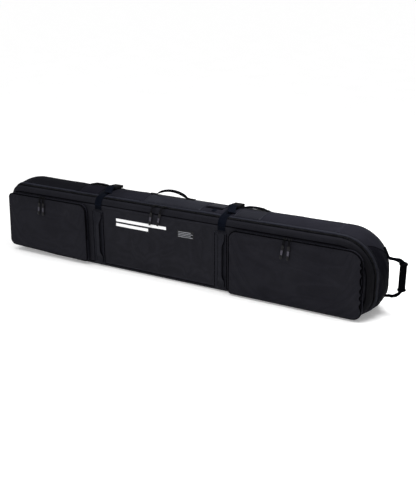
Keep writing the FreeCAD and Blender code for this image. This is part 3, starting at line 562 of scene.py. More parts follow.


# painted shade: how far the colour is darkened at places along X, darker towards the bag's ends
# where less light falls; the ramp reaches as far as its reach either way
SHADE_REACH = 0.9
GUSSET_PAINTED_SHADE = ((-0.82, 0.48), (-0.40, 0.38), (-0.26, 1.0), (0.55, 1.0), (0.70, 0.92), (0.79, 0.62))
PATCH_PAINTED_SHADE = ((-0.20, 1.0), (0.10, 1.0), (0.26, 0.74))
BAND_PAINTED_SHADE = ((0.60, 1.0), (0.72, 0.62), (0.79, 0.20))
GUARD_PAINTED_SHADE = ((0.60, 1.0), (0.74, 0.60), (0.80, 0.24))
M = {
    "panel": fabric("panel_fabric", (0.0040, 0.0040, 0.0062), (0.0068, 0.0068, 0.0098)),
    # partly painted shade: dark cloth for the patch on the round end, which faces away from the
    # light
    "end": fabric("end_patch_fabric_painted_shade", (0.0024, 0.0024, 0.0038), (0.0050, 0.0050, 0.0074), sheen=0.0,
                  spec=0.01),
    "guard": fabric("zip_guard", (0.0125, 0.0132, 0.0195), (0.0180, 0.0190, 0.0265), 0.0009,
                    along=GUARD_PAINTED_SHADE),
    "gusset": fabric("gusset_fabric", (0.0094, 0.0094, 0.0138), (0.0144, 0.0144, 0.0204),
                     sheen=0.006, along=GUSSET_PAINTED_SHADE, spec=0.02),
    "lid": fabric("lid_fabric", (0.0098, 0.0098, 0.0132), (0.0152, 0.0152, 0.0196)),
    "pocket": fabric("pocket_fabric", (0.0086, 0.0085, 0.0122), (0.0136, 0.0135, 0.0176)),
    "pocket_edge": fabric("pocket_edge", (0.0105, 0.0105, 0.0155), (0.0160, 0.0160, 0.0225),
                          0.0009),
    "band": fabric("band_fabric", (0.0080, 0.0080, 0.0112), (0.0125, 0.0125, 0.0168),
                   along=BAND_PAINTED_SHADE),
    "patch": fabric("patch_fabric", (0.0125, 0.0129, 0.0180), (0.0180, 0.0185, 0.0250), 0.0017,
                    0.5, along=PATCH_PAINTED_SHADE, spec=0.03),
    # painted shade: a darker copy of the patch cloth for the rear patch, at the bag's left end
    # where less light falls
    "rear_patch_painted_shade": fabric("rear_patch_fabric", (0.0056, 0.0054, 0.0088),
                         (0.0086, 0.0083, 0.0132), 0.0017, 0.5, sheen=0.0, spec=0.01),
    "piping": fabric("piping_fabric", (0.0008, 0.0008, 0.0012), (0.0018, 0.0018, 0.0026), 0.0009,
                     sheen=0.0, spec=0.0),
    "lining": foam("lining_cloth", (0.045, 0.050, 0.060), (0.070, 0.078, 0.092)),
    "tape": webbing("zip_tape", (0.0006, 0.0006, 0.0009), (0.0013, 0.0013, 0.0018), "X", 0.0010,
                    0.0, 0.0),
    "teeth": plastic("zip_teeth", (0.0008, 0.0008, 0.0010), (0.0018, 0.0018, 0.0022), 0.55,
                     spec=0.02),
    "strap": webbing("strap_webbing", (0.0022, 0.0031, 0.0060), (0.0040, 0.0053, 0.0098), "Y",
                     sheen=0.004, spec=0.01),
    "band_web": webbing("band_webbing", (0.0096, 0.0098, 0.0145), (0.0140, 0.0143, 0.0200), "Z",
                        0.0014),
    "grip_web": webbing("side_handle_webbing", (0.0084, 0.0086, 0.0125), (0.0125, 0.0128, 0.0180),
                        "Z", 0.0018),
    "strap_x": webbing("handle_webbing", (0.0014, 0.0015, 0.0022), (0.0030, 0.0032, 0.0046), "X",
                       sheen=0.0, spec=0.01),
    "strap_z": webbing("upright_webbing", (0.0008, 0.0009, 0.0014), (0.0018, 0.0020, 0.0030), "Z",
                       sheen=0.0, spec=0.0),
    "stitch": webbing("stitch_thread", (0.0050, 0.0052, 0.0066), (0.0110, 0.0114, 0.0140), "X",
                      0.0008, 0.0),
    "metal": metal("zip_metal", (0.02, 0.02, 0.022), (0.045, 0.045, 0.048), 0.38),
    # painted highlight: lighter metal laid on the front faces of each pull grip's middle
    "painted_highlight": metal("pull_painted_highlight", (0.040, 0.038, 0.050), (0.080, 0.076, 0.094), 0.36),
    "cord": webbing("pull_cord", (0.0008, 0.0008, 0.0012), (0.0018, 0.0019, 0.0026), "Z", 0.0012,
                    0.0),
    "rubber": plastic("pull_rubber", (0.0010, 0.0010, 0.0013), (0.0024, 0.0024, 0.0030), 0.5,
                      spec=0.1),
    "buckle": plastic("buckle_plastic", (0.0008, 0.0008, 0.0010), (0.0018, 0.0018, 0.0022), 0.45,
                      worn=(0.006, 0.006, 0.007), spec=0.03),
    "grip": plastic("grip_rubber", (0.0008, 0.0008, 0.0012), (0.0018, 0.0018, 0.0024), 0.6, 500.0,
                    0.00012, worn=(0.004, 0.004, 0.005), spec=0.0),
    "housing": plastic("housing_plastic", (0.0045, 0.0045, 0.0052), (0.0080, 0.0080, 0.0092), 0.5,
                       700.0, 0.0001, worn=(0.018, 0.018, 0.020), spec=0.1),
    "board": plastic("board_plastic", (0.040, 0.041, 0.044), (0.055, 0.056, 0.060), 0.5, 300.0),
    "tyre": plastic("wheel_tyre", (0.0130, 0.0130, 0.0140), (0.0220, 0.0220, 0.0235), 0.6, 600.0,
                    0.00012, worn=(0.10, 0.10, 0.105)),
    "hub": plastic("hub_plastic", (0.045, 0.046, 0.050), (0.070, 0.072, 0.078), 0.36),
    "steel": metal("bearing_steel", (0.45, 0.45, 0.46), (0.62, 0.62, 0.63), 0.25),
    "rivet": metal("rivet_steel", (0.16, 0.16, 0.17), (0.26, 0.26, 0.27), 0.3),
    "card": printed_card("address_card"),
    "mark": ink("printed_mark", (0.80, 0.80, 0.81), (0.90, 0.90, 0.91)),
    "label": ink("printed_label", (0.13, 0.135, 0.150), (0.20, 0.205, 0.225)),
}


# ---- camera, floor and light -------------------------------------------------------------
VIEW_AZ, VIEW_EL, VIEW_ROLL = math.radians(29.6), math.radians(19.5), math.radians(-0.17)
VIEW_DIST, VIEW_LENS = 3.04, 56.33
VIEW_TARGET = Vector((0.096, 0.0, 0.128))


def camera():
    """Camera at the product view."""
    back = Vector((math.sin(VIEW_AZ) * math.cos(VIEW_EL), -math.cos(VIEW_AZ) * math.cos(VIEW_EL),
                   math.sin(VIEW_EL)))
    data = bpy.data.cameras.new("camera")
    data.lens = VIEW_LENS
    data.sensor_width = 36.0
    obj = placed("camera", data)
    obj.matrix_world = (Matrix.Translation(VIEW_TARGET + back * VIEW_DIST)
                        @ back.to_track_quat("Z", "Y").to_matrix().to_4x4()
                        @ Matrix.Rotation(VIEW_ROLL, 4, "Z"))
    bpy.context.scene.camera = obj


def area_light(name, place, aim, size, watts):
    """Soft white rectangular light that faces a point."""
    data = bpy.data.lights.new(name, "AREA")
    data.shape = "RECTANGLE"
    data.size, data.size_y = size
    data.energy = watts
    place = Vector(place)
    placed(name, data).matrix_world = (Matrix.Translation(place) @ (place - Vector(aim))
                                       .to_track_quat("Z", "Y").to_matrix().to_4x4())


WORLD_LIGHT, SKY_STRENGTH, OVERHEAD_WATTS, FRONT_WATTS = 0.40, 1.45, 24.0, 13.0
FLOOR_REACH = 90.0


def studio():
    """Pale floor, white surroundings and three soft lights."""
    floor_z, far = CAD_BOX[0][2], FLOOR_REACH
    corners = [(x, y, floor_z) for x, y in ((-far, -far), (far, -far), (far, far), (-far, far))]
    piece("floor", corners, [(0, 1, 2, 3)], floor_material(), smooth=False)
    world = bpy.data.worlds.new("studio")
    world.use_nodes = True
    sockets = world.node_tree.nodes["Background"].inputs
    sockets["Color"].default_value = (1.0, 1.0, 1.0, 1.0)
    sockets["Strength"].default_value = WORLD_LIGHT
    bpy.context.scene.world = world
    sun = bpy.data.lights.new("skylight", "SUN")
    sun.energy = SKY_STRENGTH
    sun.angle = math.radians(50)
    placed("skylight", sun).rotation_euler = (math.radians(14), math.radians(-8), 0.0)
    area_light("overhead", (0.75, 0.35, 1.35), (0.45, 0.0, 0.25), (1.3, 0.8), OVERHEAD_WATTS)
    area_light("front", (-0.7, -2.3, 1.1), (-0.1, 0.0, 0.1), (2.6, 0.7), FRONT_WATTS)


def floor_material():
    """Matt white paper sweep."""
    n = Nodes("paper_sweep")
    grain = n.noise(3.0, 2.0)
    base = n.ramp(grain, (0.3, 0.92), (0.7, 0.95))
    return n.set(Base_Color=base, Roughness=0.9, Specular_IOR_Level=0.1,
                 Emission_Color=(1.0, 1.0, 1.0), Emission_Strength=0.22)


camera()
studio()


# ---- tools for pieces --------------------------------------------------------------------
def attach(obj, body, *nodes, slot=None):
    """Rides a piece on a body and hides the CAD nodes it stands for; the finish given as slot is
    not used.
    """
    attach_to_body(obj, body)
    if nodes:
        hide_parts(*nodes)
    return obj


def applied(obj):
    """Bakes the modifiers of a piece into its mesh."""
    graph = bpy.context.evaluated_depsgraph_get()
    mesh = bpy.data.meshes.new_from_object(obj.evaluated_get(graph))
    old = obj.data
    obj.modifiers.clear()
    obj.data = mesh
    bpy.data.meshes.remove(old)
    for poly in mesh.polygons:
        poly.use_smooth = True
    return obj


def bevelled(obj, width):
    """Small rounds on the sharp edges of a piece."""
    mod = obj.modifiers.new("bevel", "BEVEL")
    mod.width = width
    mod.segments = 2
    mod.limit_method = "ANGLE"
    mod.angle_limit = math.radians(40.0)
    mod.harden_normals = False


def joined(name, parts, material):
    """One piece from (verts, faces) lists."""
    verts, faces = [], []
    for v, f in parts:
        base = len(verts)
        verts += [tuple(p) for p in v]
        faces += [tuple(i + base for i in face) for face in f]
    return piece(name, verts, faces, material)


def sewn(name, parts, look, body, slot, *nodes):
    """One piece from (verts, faces) lists that rides on a body."""
    return attach(joined(name, parts, M[look]), body, *nodes, slot=slot)


def tangents(points, closed=False):
    """Unit direction of a line at each of its points."""
    count = len(points)
    out = []
    for i in range(count):
        a = points[i - 1] if closed or i else points[0]
        b = points[(i + 1) % count] if closed or i < count - 1 else points[-1]
        out.append((b - a).normalized())
    return out


def frames_along(points, up=None, closed=False):
    """Side and up vectors at each point of a line, kept near one up direction."""
    out = []
    for i, t in enumerate(tangents(points, closed)):
        u = up[i] if isinstance(up, list) else (up or Vector((0, 0, 1)))
        s = t.cross(u)
        if s.length < 1e-6:
            s = t.cross(Vector((0, 1, 0)))
        s.normalize()
        out.append((s, s.cross(t)))
    return out


def swept(points, section, up=None, closed=False, scale=None):
    """(verts, faces) of a section of (side, up) offsets swept along a line."""
    verts = []
    for i, (p, (s, u)) in enumerate(zip(points, frames_along(points, up, closed))):
        k = scale(i / max(1, len(points) - 1)) if scale else (1.0, 1.0)
        verts += [p + s * (a * k[0]) + u * (b * k[1]) for a, b in section]
    if not closed:
        return verts, tube_faces(len(points), len(section))
    faces = grid_faces(len(points) + 1, len(section), wrap=True)
    return verts, [tuple(i % len(verts) for i in f) for f in faces]


def tube(points, radius, sides=8, closed=False, ups=None):
    """(verts, faces) of a round cord along a line."""
    return swept(points, round_section(radius, sides), up=ups, closed=closed)


def squared(value, power):
    """A sine or cosine raised to a power, with its sign kept, for rounded-square rings."""
    return math.copysign(abs(value) ** power, value)


def round_section(radius, count=8):
    """Circle as a section."""
    return [(radius * math.cos(2 * math.pi * i / count), radius * math.sin(2 * math.pi * i / count))
            for i in range(count)]


def strap_section(width, thick, base=0.0):
    """Flat webbing with soft edges, lying on its underside."""
    w, t = width / 2, thick
    e = min(thick * 0.45, w * 0.4)
    return [(-w + e, base), (w - e, base), (w, base + t * 0.35), (w, base + t * 0.65),
            (w - e, base + t), (w * 0.5, base + t * 1.02), (0, base + t * 0.98),
            (-w * 0.5, base + t * 1.02), (-w + e, base + t), (-w, base + t * 0.65),
            (-w, base + t * 0.35)]


def resample(points, step):
    """Points one step apart along a polyline."""
    out, carry = [points[0].copy()], 0.0
    for a, b in zip(points, points[1:]):
        run = (b - a).length
        if run < 1e-9:
            continue
        at = step - carry
        while at <= run:
            out.append(a + (b - a) * (at / run))
            at += step
        carry = run - (at - step)
    if (out[-1] - points[-1]).length > step * 0.3:
        out.append(points[-1].copy())
    return out


def rounded_path(points, step=0.003, smooth=2):
    """A polyline resampled and eased at its corners."""
    pts = resample([Vector(p) for p in points], step)
    for _ in range(smooth):
        inner = [(a + b * 2 + c) / 4 for a, b, c in zip(pts, pts[1:], pts[2:])]
        pts = [pts[0]] + inner + [pts[-1]]
    return pts


BOX = ((3, 2, 1, 0), (4, 5, 6, 7), (0, 1, 5, 4), (1, 2, 6, 5), (2, 3, 7, 6), (3, 0, 4, 7))


def stitches(points, ups, pitch=0.0038, length=0.0026, width=0.0007, high=0.0004):
    """(verts, faces) of a row of threads lying on a surface; ups are its normals."""
    verts, faces = [], []
    run = 0.0
    for i, (a, b) in enumerate(zip(points, points[1:])):
        gone = (b - a).length
        if gone < 1e-9:
            continue
        t = (b - a) / gone
        up = ups[i]
        side = t.cross(up).normalized() * (width / 2)
        while run < gone:
            p = a + t * run
            q = p + t * length
            base = len(verts)
            mid = (p + q) / 2 + up * high
            verts += [p - side * 0.4 - up * high, p + side * 0.4 - up * high,
                      q + side * 0.4 - up * high, q - side * 0.4 - up * high,
                      mid - side - t * length * 0.22, mid + side - t * length * 0.22,
                      mid + side + t * length * 0.22, mid - side + t * length * 0.22]
            faces += [tuple(base + k for k in f) for f in BOX]
            run += pitch
        run -= gone
    return verts, faces


class Surface:
    """A finished piece that other things are laid on."""

    def __init__(self, *objs):
        bm = bmesh.new()
        for obj in objs:
            bm.from_mesh(obj.data)
        self.tree = BVHTree.FromBMesh(bm)
        bm.free()

    def cast(self, start, aim, off):
        """First point met from start along aim, lifted by off, and its normal."""
        hit, n, _, _ = self.tree.ray_cast(Vector(start), Vector(aim))
        return None if hit is None else (hit + n * off, n)

    def front(self, x, z, off=0.0):
        """Point on the surface seen from -Y, and its normal."""
        return (self.cast((x, -0.3, z), (0, 1, 0), off)
                or (Vector((x, FRONT_Y - off, z)), Vector((0, -1, 0))))

    def top(self, x, y, off=0.0):
        """Point on the surface seen from above, and its normal."""
        return (self.cast((x, y, 0.5), (0, 0, -1), off)
                or (Vector((x, y, top_z(y) + off)), Vector((0, 0, 1))))

    def end(self, y, z, off=0.0):
        """Point on the surface seen from +X, and its normal, or None."""
        return self.cast((1.2, y, z), (-1, 0, 0), off)


def stitch_line(surface, how, places, off=STITCH_OFF):
    """(verts, faces) of stitches laid on a surface along a line of places."""
    hits = [getattr(surface, how)(a, b, off) for a, b in places]
    return stitches([p for p, _ in hits], [n for _, n in hits])


SUNK = 0.0002    # how far the underside of a laid shape goes into the surface


def laid(name, surface, corners, material, thick, step=0.004, how="front"):
    """Thin shape printed or sewn on a surface; corners are a closed outline in its plane."""
    xs = [c[0] for c in corners]
    zs = [c[1] for c in corners]
    bm = bmesh.new()
    ring = []
    for i, (x, z) in enumerate(corners):
        nx, nz = corners[(i + 1) % len(corners)]
        n = max(1, round(math.hypot(nx - x, nz - z) / step))
        for k in range(n):
            ring.append(bm.verts.new((x + (nx - x) * k / n, 0, z + (nz - z) * k / n)))
    bm.faces.new(ring)
    for lo, hi, axis in ((min(xs), max(xs), 0), (min(zs), max(zs), 2)):
        cuts = int((hi - lo) / step)
        for i in range(1, cuts):
            co, no = [0, 0, 0], [0, 0, 0]
            co[axis], no[axis] = lo + (hi - lo) * i / cuts, 1
            geom = bm.verts[:] + bm.edges[:] + bm.faces[:]
            bmesh.ops.bisect_plane(bm, geom=geom, plane_co=co, plane_no=no)
    base_faces = bm.faces[:]
    lower = {}
    for v in bm.verts[:]:
        p, _ = getattr(surface, how)(v.co.x, v.co.z, thick)
        q, _ = getattr(surface, how)(v.co.x, v.co.z, -SUNK)
        lower[v] = bm.verts.new(q)
        v.co = p
    for e in [e for e in bm.edges if len(e.link_faces) == 1]:
        a, b = e.verts
        bm.faces.new((a, b, lower[b], lower[a]))
    for f in base_faces:
        bm.faces.new([lower[v] for v in reversed(f.verts)])
    return finished(name, bm, material)


# ---- shell and lid panels ----------------------------------------------------------------
def arc_ys(y0, y1, step=0.006, tight=0.003):
    """Rows from y0 to y1, closer together where the front and back corners turn."""
    out, y = [y0], y0
    while y < y1 - 1e-6:
        near = min(y - FRONT_Y, BACK_Y - y)
        y += tight if near < 0.022 else step
        out.append(min(y, y1))
    if len(out) > 2 and out[-1] - out[-2] < 0.3 * tight:
        out.pop(-2)
    return out


HOLD_FADE = 0.010
WINDOW = (0.108, 0.180, -0.022, 0.030)
PATCH_Y = (-0.070, 0.084)


def held_down(x, y, z):
    """1 where straps, patches and the window press on the bag, fading over HOLD_FADE."""
    on_back = y >= BACK_Y - 0.012
    if z < 0.2 and not on_back:
        return 0.0
    best = 0.0
    strips = [(STRAP_X[s] - STRAP_W / 2, STRAP_X[s] + STRAP_W / 2, -0.2, 0.2) for s in SIDES]
    if not on_back:
        strips += [(x0, x1, *PATCH_Y) for x0, x1 in PATCH_X.values()]
        strips.append(WINDOW)
    for x0, x1, y0, y1 in strips:
        out = max(x0 - x, x - x1, y0 - y, y - y1, 0.0)
        best = max(best, 1.0 - min(out / HOLD_FADE, 1.0))
    return eased(best)


def tub_lift(p, seed, along=0, gain=1.0):
    """How far the shell's fabric stands off its drawn form."""
    x, y, z = p
    slack = creases(p, along, seed, gain)
    zip_side, back_side = y - (ZIP_Y + ZIP_HALF), BACK_SEAM_Y - y
    run = x if along == 0 else z
    slack += 0.0009 * pucker(run, zip_side - 0.016, seed) * min(zip_side / 0.006, 1.0)
    slack += 0.0008 * pucker(run, back_side, seed + 9.0)
    slack += 0.0016 * math.sin(math.pi * clamp(zip_side / 0.182)) * gain
    round_end = clamp((x - 0.70) / 0.09) * clamp((0.262 - z) / 0.05)
    if round_end > 0:
        folds = noise.noise(Vector((y / 0.021 + 0.9 * z / 0.05, 0.4 * z / 0.09, 8.0)))
        slack += 0.0034 * round_end * folds + 0.0010 * round_end * rough(p, 0.014, 12.0)
    slack = min(max(slack, -0.0036), 0.0048)
    slack *= clamp(zip_side / 0.010) * clamp(z / 0.045)
    slack *= clamp(back_side / 0.010)
    hold = held_down(x, y, z)
    return slack * (1 - hold) - 0.0009 * hold


WHEEL_ROOM = ((-1.0, -0.7335), (0.0305, 0.2), (0.0245, 0.2495))


def wheel_room_cut(obj):
    """Takes the wheel housing's place out of a panel."""
    room = bpy.data.meshes.new("room")
    bm = bmesh.new()
    bmesh.ops.create_cube(bm, size=1.0)
    for v in bm.verts:
        v.co = [(lo + hi) / 2 + c * (hi - lo) for c, (lo, hi) in zip(v.co, WHEEL_ROOM)]
    bm.to_mesh(room)
    bm.free()
    cutter = placed("room", room)
    mod = obj.modifiers.new("room", "BOOLEAN")
    mod.object = cutter
    mod.operation = "DIFFERENCE"
    mod.solver = "EXACT"
    applied(obj)
    bpy.data.objects.remove(cutter)
    bpy.data.meshes.remove(room)
    return obj


def lift_of(grid, lift_at):
    """The lift at each point of a grid, as an array."""
    return np.array([[lift_at(p) for p in row] for row in grid])


def ring_panel(name, run, ys, seed, along, material, gain=1.0, wrap=False):
    """Sewn panel that follows the ring of the bag over some of its sides."""
    grid = ring_grid(run, ys)
    lift = lift_of(grid, lambda p: tub_lift(p, seed, along, gain))
    return shell_piece(name, grid, lift, PANEL_T, material, wrap)


def face_panel(name, y, lift_at, material, columns=260, rows=48, thick=PANEL_T, depth=0.0):
    """Flat face of the bag inside the ring at one y; lift_at gives its slack."""
    ring = Ring(y, depth)
    grid = np.zeros((rows, columns, 3))
    for c in range(columns):
        share = c / (columns - 1)
        x = ring.x0 + (ring.x1 - ring.x0) * (share - math.sin(2 * math.pi * share) * 0.004)
        low, high = ring.low(x), max(ring.high(x), ring.low(x) + 0.0005)
        for r in range(rows):
            grid[r, c] = (x, y, low + (high - low) * r / (rows - 1))
    sign = -1.0 if y < 0 else 1.0
    lift = lift_of(grid, lift_at)
    outer, inner = grid.copy(), grid.copy()
    outer[..., 1] += sign * lift
    inner[..., 1] += sign * (lift - thick)
    return closed_sheet(name, outer, inner, material)


ALL = samples(0.0065)
TOP_CUT, FOOT_CUT, RISE_CUT = ("top", 0.9888), ("bottom", 0.0465), ("rise", 0.914)
END_GAIN = 1.25
TUB_YS = arc_ys(ZIP_Y + ZIP_HALF, BACK_SEAM_Y)


def edge_room(p, ring, reach=0.012):
    """0 at the sewn edge of a flat face, 1 well inside it."""
    x, _, z = p
    room = min(x - ring.x0, ring.x1 - x, z - ring.low(x), ring.high(x) - z)
    return clamp(room / reach)


LID_RING = Ring(FRONT_Y)
BACK_RING = Ring(BACK_Y)
BAND_SHIFT, BAND_W, LID_MID_X = -0.003, 0.052, -0.072
POCKET_SPANS = ((-0.814, -0.405), (0.246, 0.770))


def lid_lift(p):
    """Slack of the lid panel: a soft pillow between the bands, flat where it is covered."""
    x, _, z = p
    inside = edge_room(p, LID_RING, 0.014)
    hold = 0.0
    for s in SIDES:
        mid = STRAP_X[s] + BAND_SHIFT
        out = max(abs(x - mid) - BAND_W / 2, 0.0)
        hold = max(hold, 1.0 - min(out / 0.014, 1.0))
    for x0, x1 in POCKET_SPANS:
        if x0 - 0.004 < x < x1 + 0.004 and 0.004 < z < 0.261:
            hold = 1.0
    hold = eased(hold)
    off_mid = x - LID_MID_X
    middle = max(0.0, math.cos(math.pi * off_mid / 0.52)) if abs(off_mid) < 0.26 else 0.0
    tall = math.sin(math.pi * clamp((z - 0.02) / 0.243))
    pillow = 0.0030 * middle ** 0.6 * tall
    slack = creases(p, 2, 11.0)
    slack += 0.0006 * pucker(x, 0.263 - z, 4.0) + 0.0006 * pucker(x, z - 0.02, 2.0)
    slack += 0.0008 * creases(p, 0, 31.0) / 0.0016
    slack = min(max(slack + pillow, -0.001), 0.0045)
    return slack * inside * (1 - hold) - 0.0002 * hold


def back_lift(p):
    """Slack of the rolling face, flat over the stiffener board and under the straps."""
    x, y, z = p
    slack = 0.5 * creases(p, 0, 23.0) * edge_room(p, BACK_RING)
    board = clamp(min(x + 0.74, 0.70 - x, z - 0.03, 0.21 - z) / 0.02)
    hold = max(held_down(x, y, z), board)
    return min(slack, 0.0025) * (1 - hold) - 0.0004 * hold


def make_shell():
    """The panels of the shell, each riding on it."""
    def panel(name, node, *how, cut=False, **more):
        obj = ring_panel(name, *how, **more)
        return attach(wheel_room_cut(obj) if cut else obj, "shell", *node, slot="panel_fabric")

    top = panel("top_gusset_fabric", ["top_gusset"], between(ALL, ("top", 0.0), TOP_CUT), TUB_YS,
                1.0, 0, M["gusset"])
    foot = panel("bottom_gusset_fabric", ["bottom_gusset"], between(ALL, FOOT_CUT, RISE_CUT),
                 TUB_YS, 2.0, 0, M["panel"], 0.0)
    end = panel("handle_end_fabric", ["handle_end_panel"], between(ALL, TOP_CUT, FOOT_CUT), TUB_YS,
                3.0, 2, M["gusset"], END_GAIN)
    rise = [s for s in ALL if s[0] == "rise" and s[1] > RISE_CUT[1]]
    corner = [s for s in ALL if s[0] == "bottom_left"]
    left = [s for s in ALL if s[0] in ("left", "top_left")]
    wheel_end = panel("wheel_end_fabric", ["wheel_end_panel"],
                      [RISE_CUT] + rise + corner + left + [("top", 0.0)], TUB_YS, 4.0, 2,
                      M["panel"], 0.7, cut=True)
    back = face_panel("back_fabric", BACK_Y, back_lift, M["panel"])
    rim = ring_panel("back_rim_fabric", ALL, [BACK_SEAM_Y, 0.1015, 0.103, 0.1042, BACK_Y], 5.0, 0,
                     M["panel"], 0.0, wrap=True)
    attach(wheel_room_cut(back), "shell", "back_panel", slot="panel_fabric")
    attach(wheel_room_cut(rim), "shell", slot="panel_fabric")
    return top, end, foot, wheel_end, back


LID_YS = [FRONT_Y + FRONT_R - FRONT_R * math.cos(math.radians(d)) for d in range(0, 55, 6)]
LID_YS = [y for y in LID_YS if y < ZIP_Y - ZIP_HALF - 0.0008] + [ZIP_Y - ZIP_HALF]


def band_lift(p):
    """Slack of the strip between the lid's seam and the zip."""
    x, y, z = p
    swell = math.sin(math.pi * clamp((y - FRONT_Y) / 0.017))
    if z < 0.03:
        return 0.0003 * swell
    hold = held_down(x, -0.03, z)
    run = x if z > 0.2 or z < 0.05 else z
    slack = 0.0012 * swell + 0.0005 * rough(p, 0.03, 6.0) + 0.0006 * pucker(run, 0.004, 8.0) * swell
    return slack * (1 - hold) - 0.0004 * hold


def make_lid():
    """The lid's face and the strip round it."""
    face = face_panel("lid_fabric", FRONT_Y, lid_lift, M["lid"], columns=420, rows=64)
    attach(face, "lid", "lid_panel", slot="lid_fabric")
    grid = ring_grid(ALL, LID_YS)
    band = shell_piece("lid_band_fabric", grid, lift_of(grid, band_lift), PANEL_T, M["band"],
                       wrap=True)
    attach(band, "lid", "lid_band", slot="lid_fabric")
    return face, band


top_fabric, end_fabric, foot_fabric, wheel_end_fabric, back_fabric = make_shell()
lid_fabric, band_fabric = make_lid()
SHELL_SKIN = Surface(top_fabric, end_fabric, foot_fabric, wheel_end_fabric, back_fabric)
LID_SKIN = Surface(lid_fabric, band_fabric)


# ---- seams round the bag -----------------------------------------------------------------
def ring_line(y, run=None, off=0.0, surface=None):
    """Line round the bag at one y, as points and outward normals."""
    run = run or ALL
    ring = Ring(y)
    before, after = Ring(max(y - 0.001, FRONT_Y)), Ring(min(y + 0.001, BACK_Y))
    points, ups = [], []
    base = [Vector(ring.at(*s)) for s in run]
    for i, s in enumerate(run):
        a, b = base[i - 1], base[(i + 1) % len(base)]
        if s is run[0] or s is run[-1]:
            a, b = (base[0], base[1]) if s is run[0] else (base[-2], base[-1])
        across = Vector(after.at(*s)) - Vector(before.at(*s))
        n = (b - a).cross(across).normalized()
        away = base[i] - Vector((min(max(base[i].x, -0.7), 0.6), 0, 0.14))
        if n.dot(away) < 0:
            n = -n
        p = base[i]
        if surface:
            hit, _, _, d = surface.tree.find_nearest(p + n * 0.002)
            if hit is not None and d < 0.012:
                p = hit
        points.append(p + n * off)
        ups.append(n)
    return points, ups


def zip_run():
    """Places round the bag that the main zip passes, from one end to the other."""
    ring = Ring(ZIP_Y)
    run = [s for s in ALL if s[0] in ("left", "top_left", "top", "top_right", "right")]
    for side, order in (("bottom_left", -1), ("bottom_right", 1)):
        part = [s for s in ALL if s[0] == side and ring.at(*s)[2] >= ZIP_LOW_Z]
        run = part + run if order < 0 else run + part
    return run


ZIP_RUN = zip_run()


def tape_strip(name, y0, y1):
    """Woven tape of one side of the main zip."""
    grid = ring_grid(ZIP_RUN, [y0, (y0 + y1) / 2, y1])
    return shell_piece(name, grid, np.full(grid.shape[:2], -0.0002), 0.0012, M["tape"])


def coil(points, ups, side_sign, pitch=0.0026):
    """(verts, faces) of moulded teeth along a zip; side_sign says which half."""
    verts, faces = [], []
    pts = resample(points, pitch)
    step = (len(ups) - 1) / max(1, len(pts) - 1)
    for i in range(len(pts) - 1):
        t = (pts[i + 1] - pts[i]).normalized()
        up = ups[min(int(i * step), len(ups) - 1)]
        s = t.cross(up).normalized() * side_sign
        p = pts[i] + (t * (pitch / 2) if side_sign > 0 else Vector())
        base = len(verts)
        for a, w in ((-0.0004, 0.00075), (0.0021, 0.00055)):
            verts += [p + s * a - t * w - up * 0.0003, p + s * a + t * w - up * 0.0003,
                      p + s * a + t * w * 0.7 + up * 0.0008, p + s * a - t * w * 0.7 + up * 0.0008]
        faces += [tuple(base + k for k in f) for f in BOX]
    return verts, faces


def stitch_row(y, skin, run, lift):
    """Stitches round the bag at one y, left out where straps and patches cover them."""
    parts, line, ups = [], [], []
    by_zip = abs(y + 0.072) <= 0.012
    for p, n in zip(*ring_line(y, run, lift, skin)):
        if held_down(p.x, min(y, 0.08), p.z) > 0.2 and not by_zip:
            if len(line) > 2:
                parts.append(stitches(line, ups))
            line, ups = [], []
        else:
            line.append(p)
            ups.append(n)
    if len(line) > 2:
        parts.append(stitches(line, ups))
    return parts


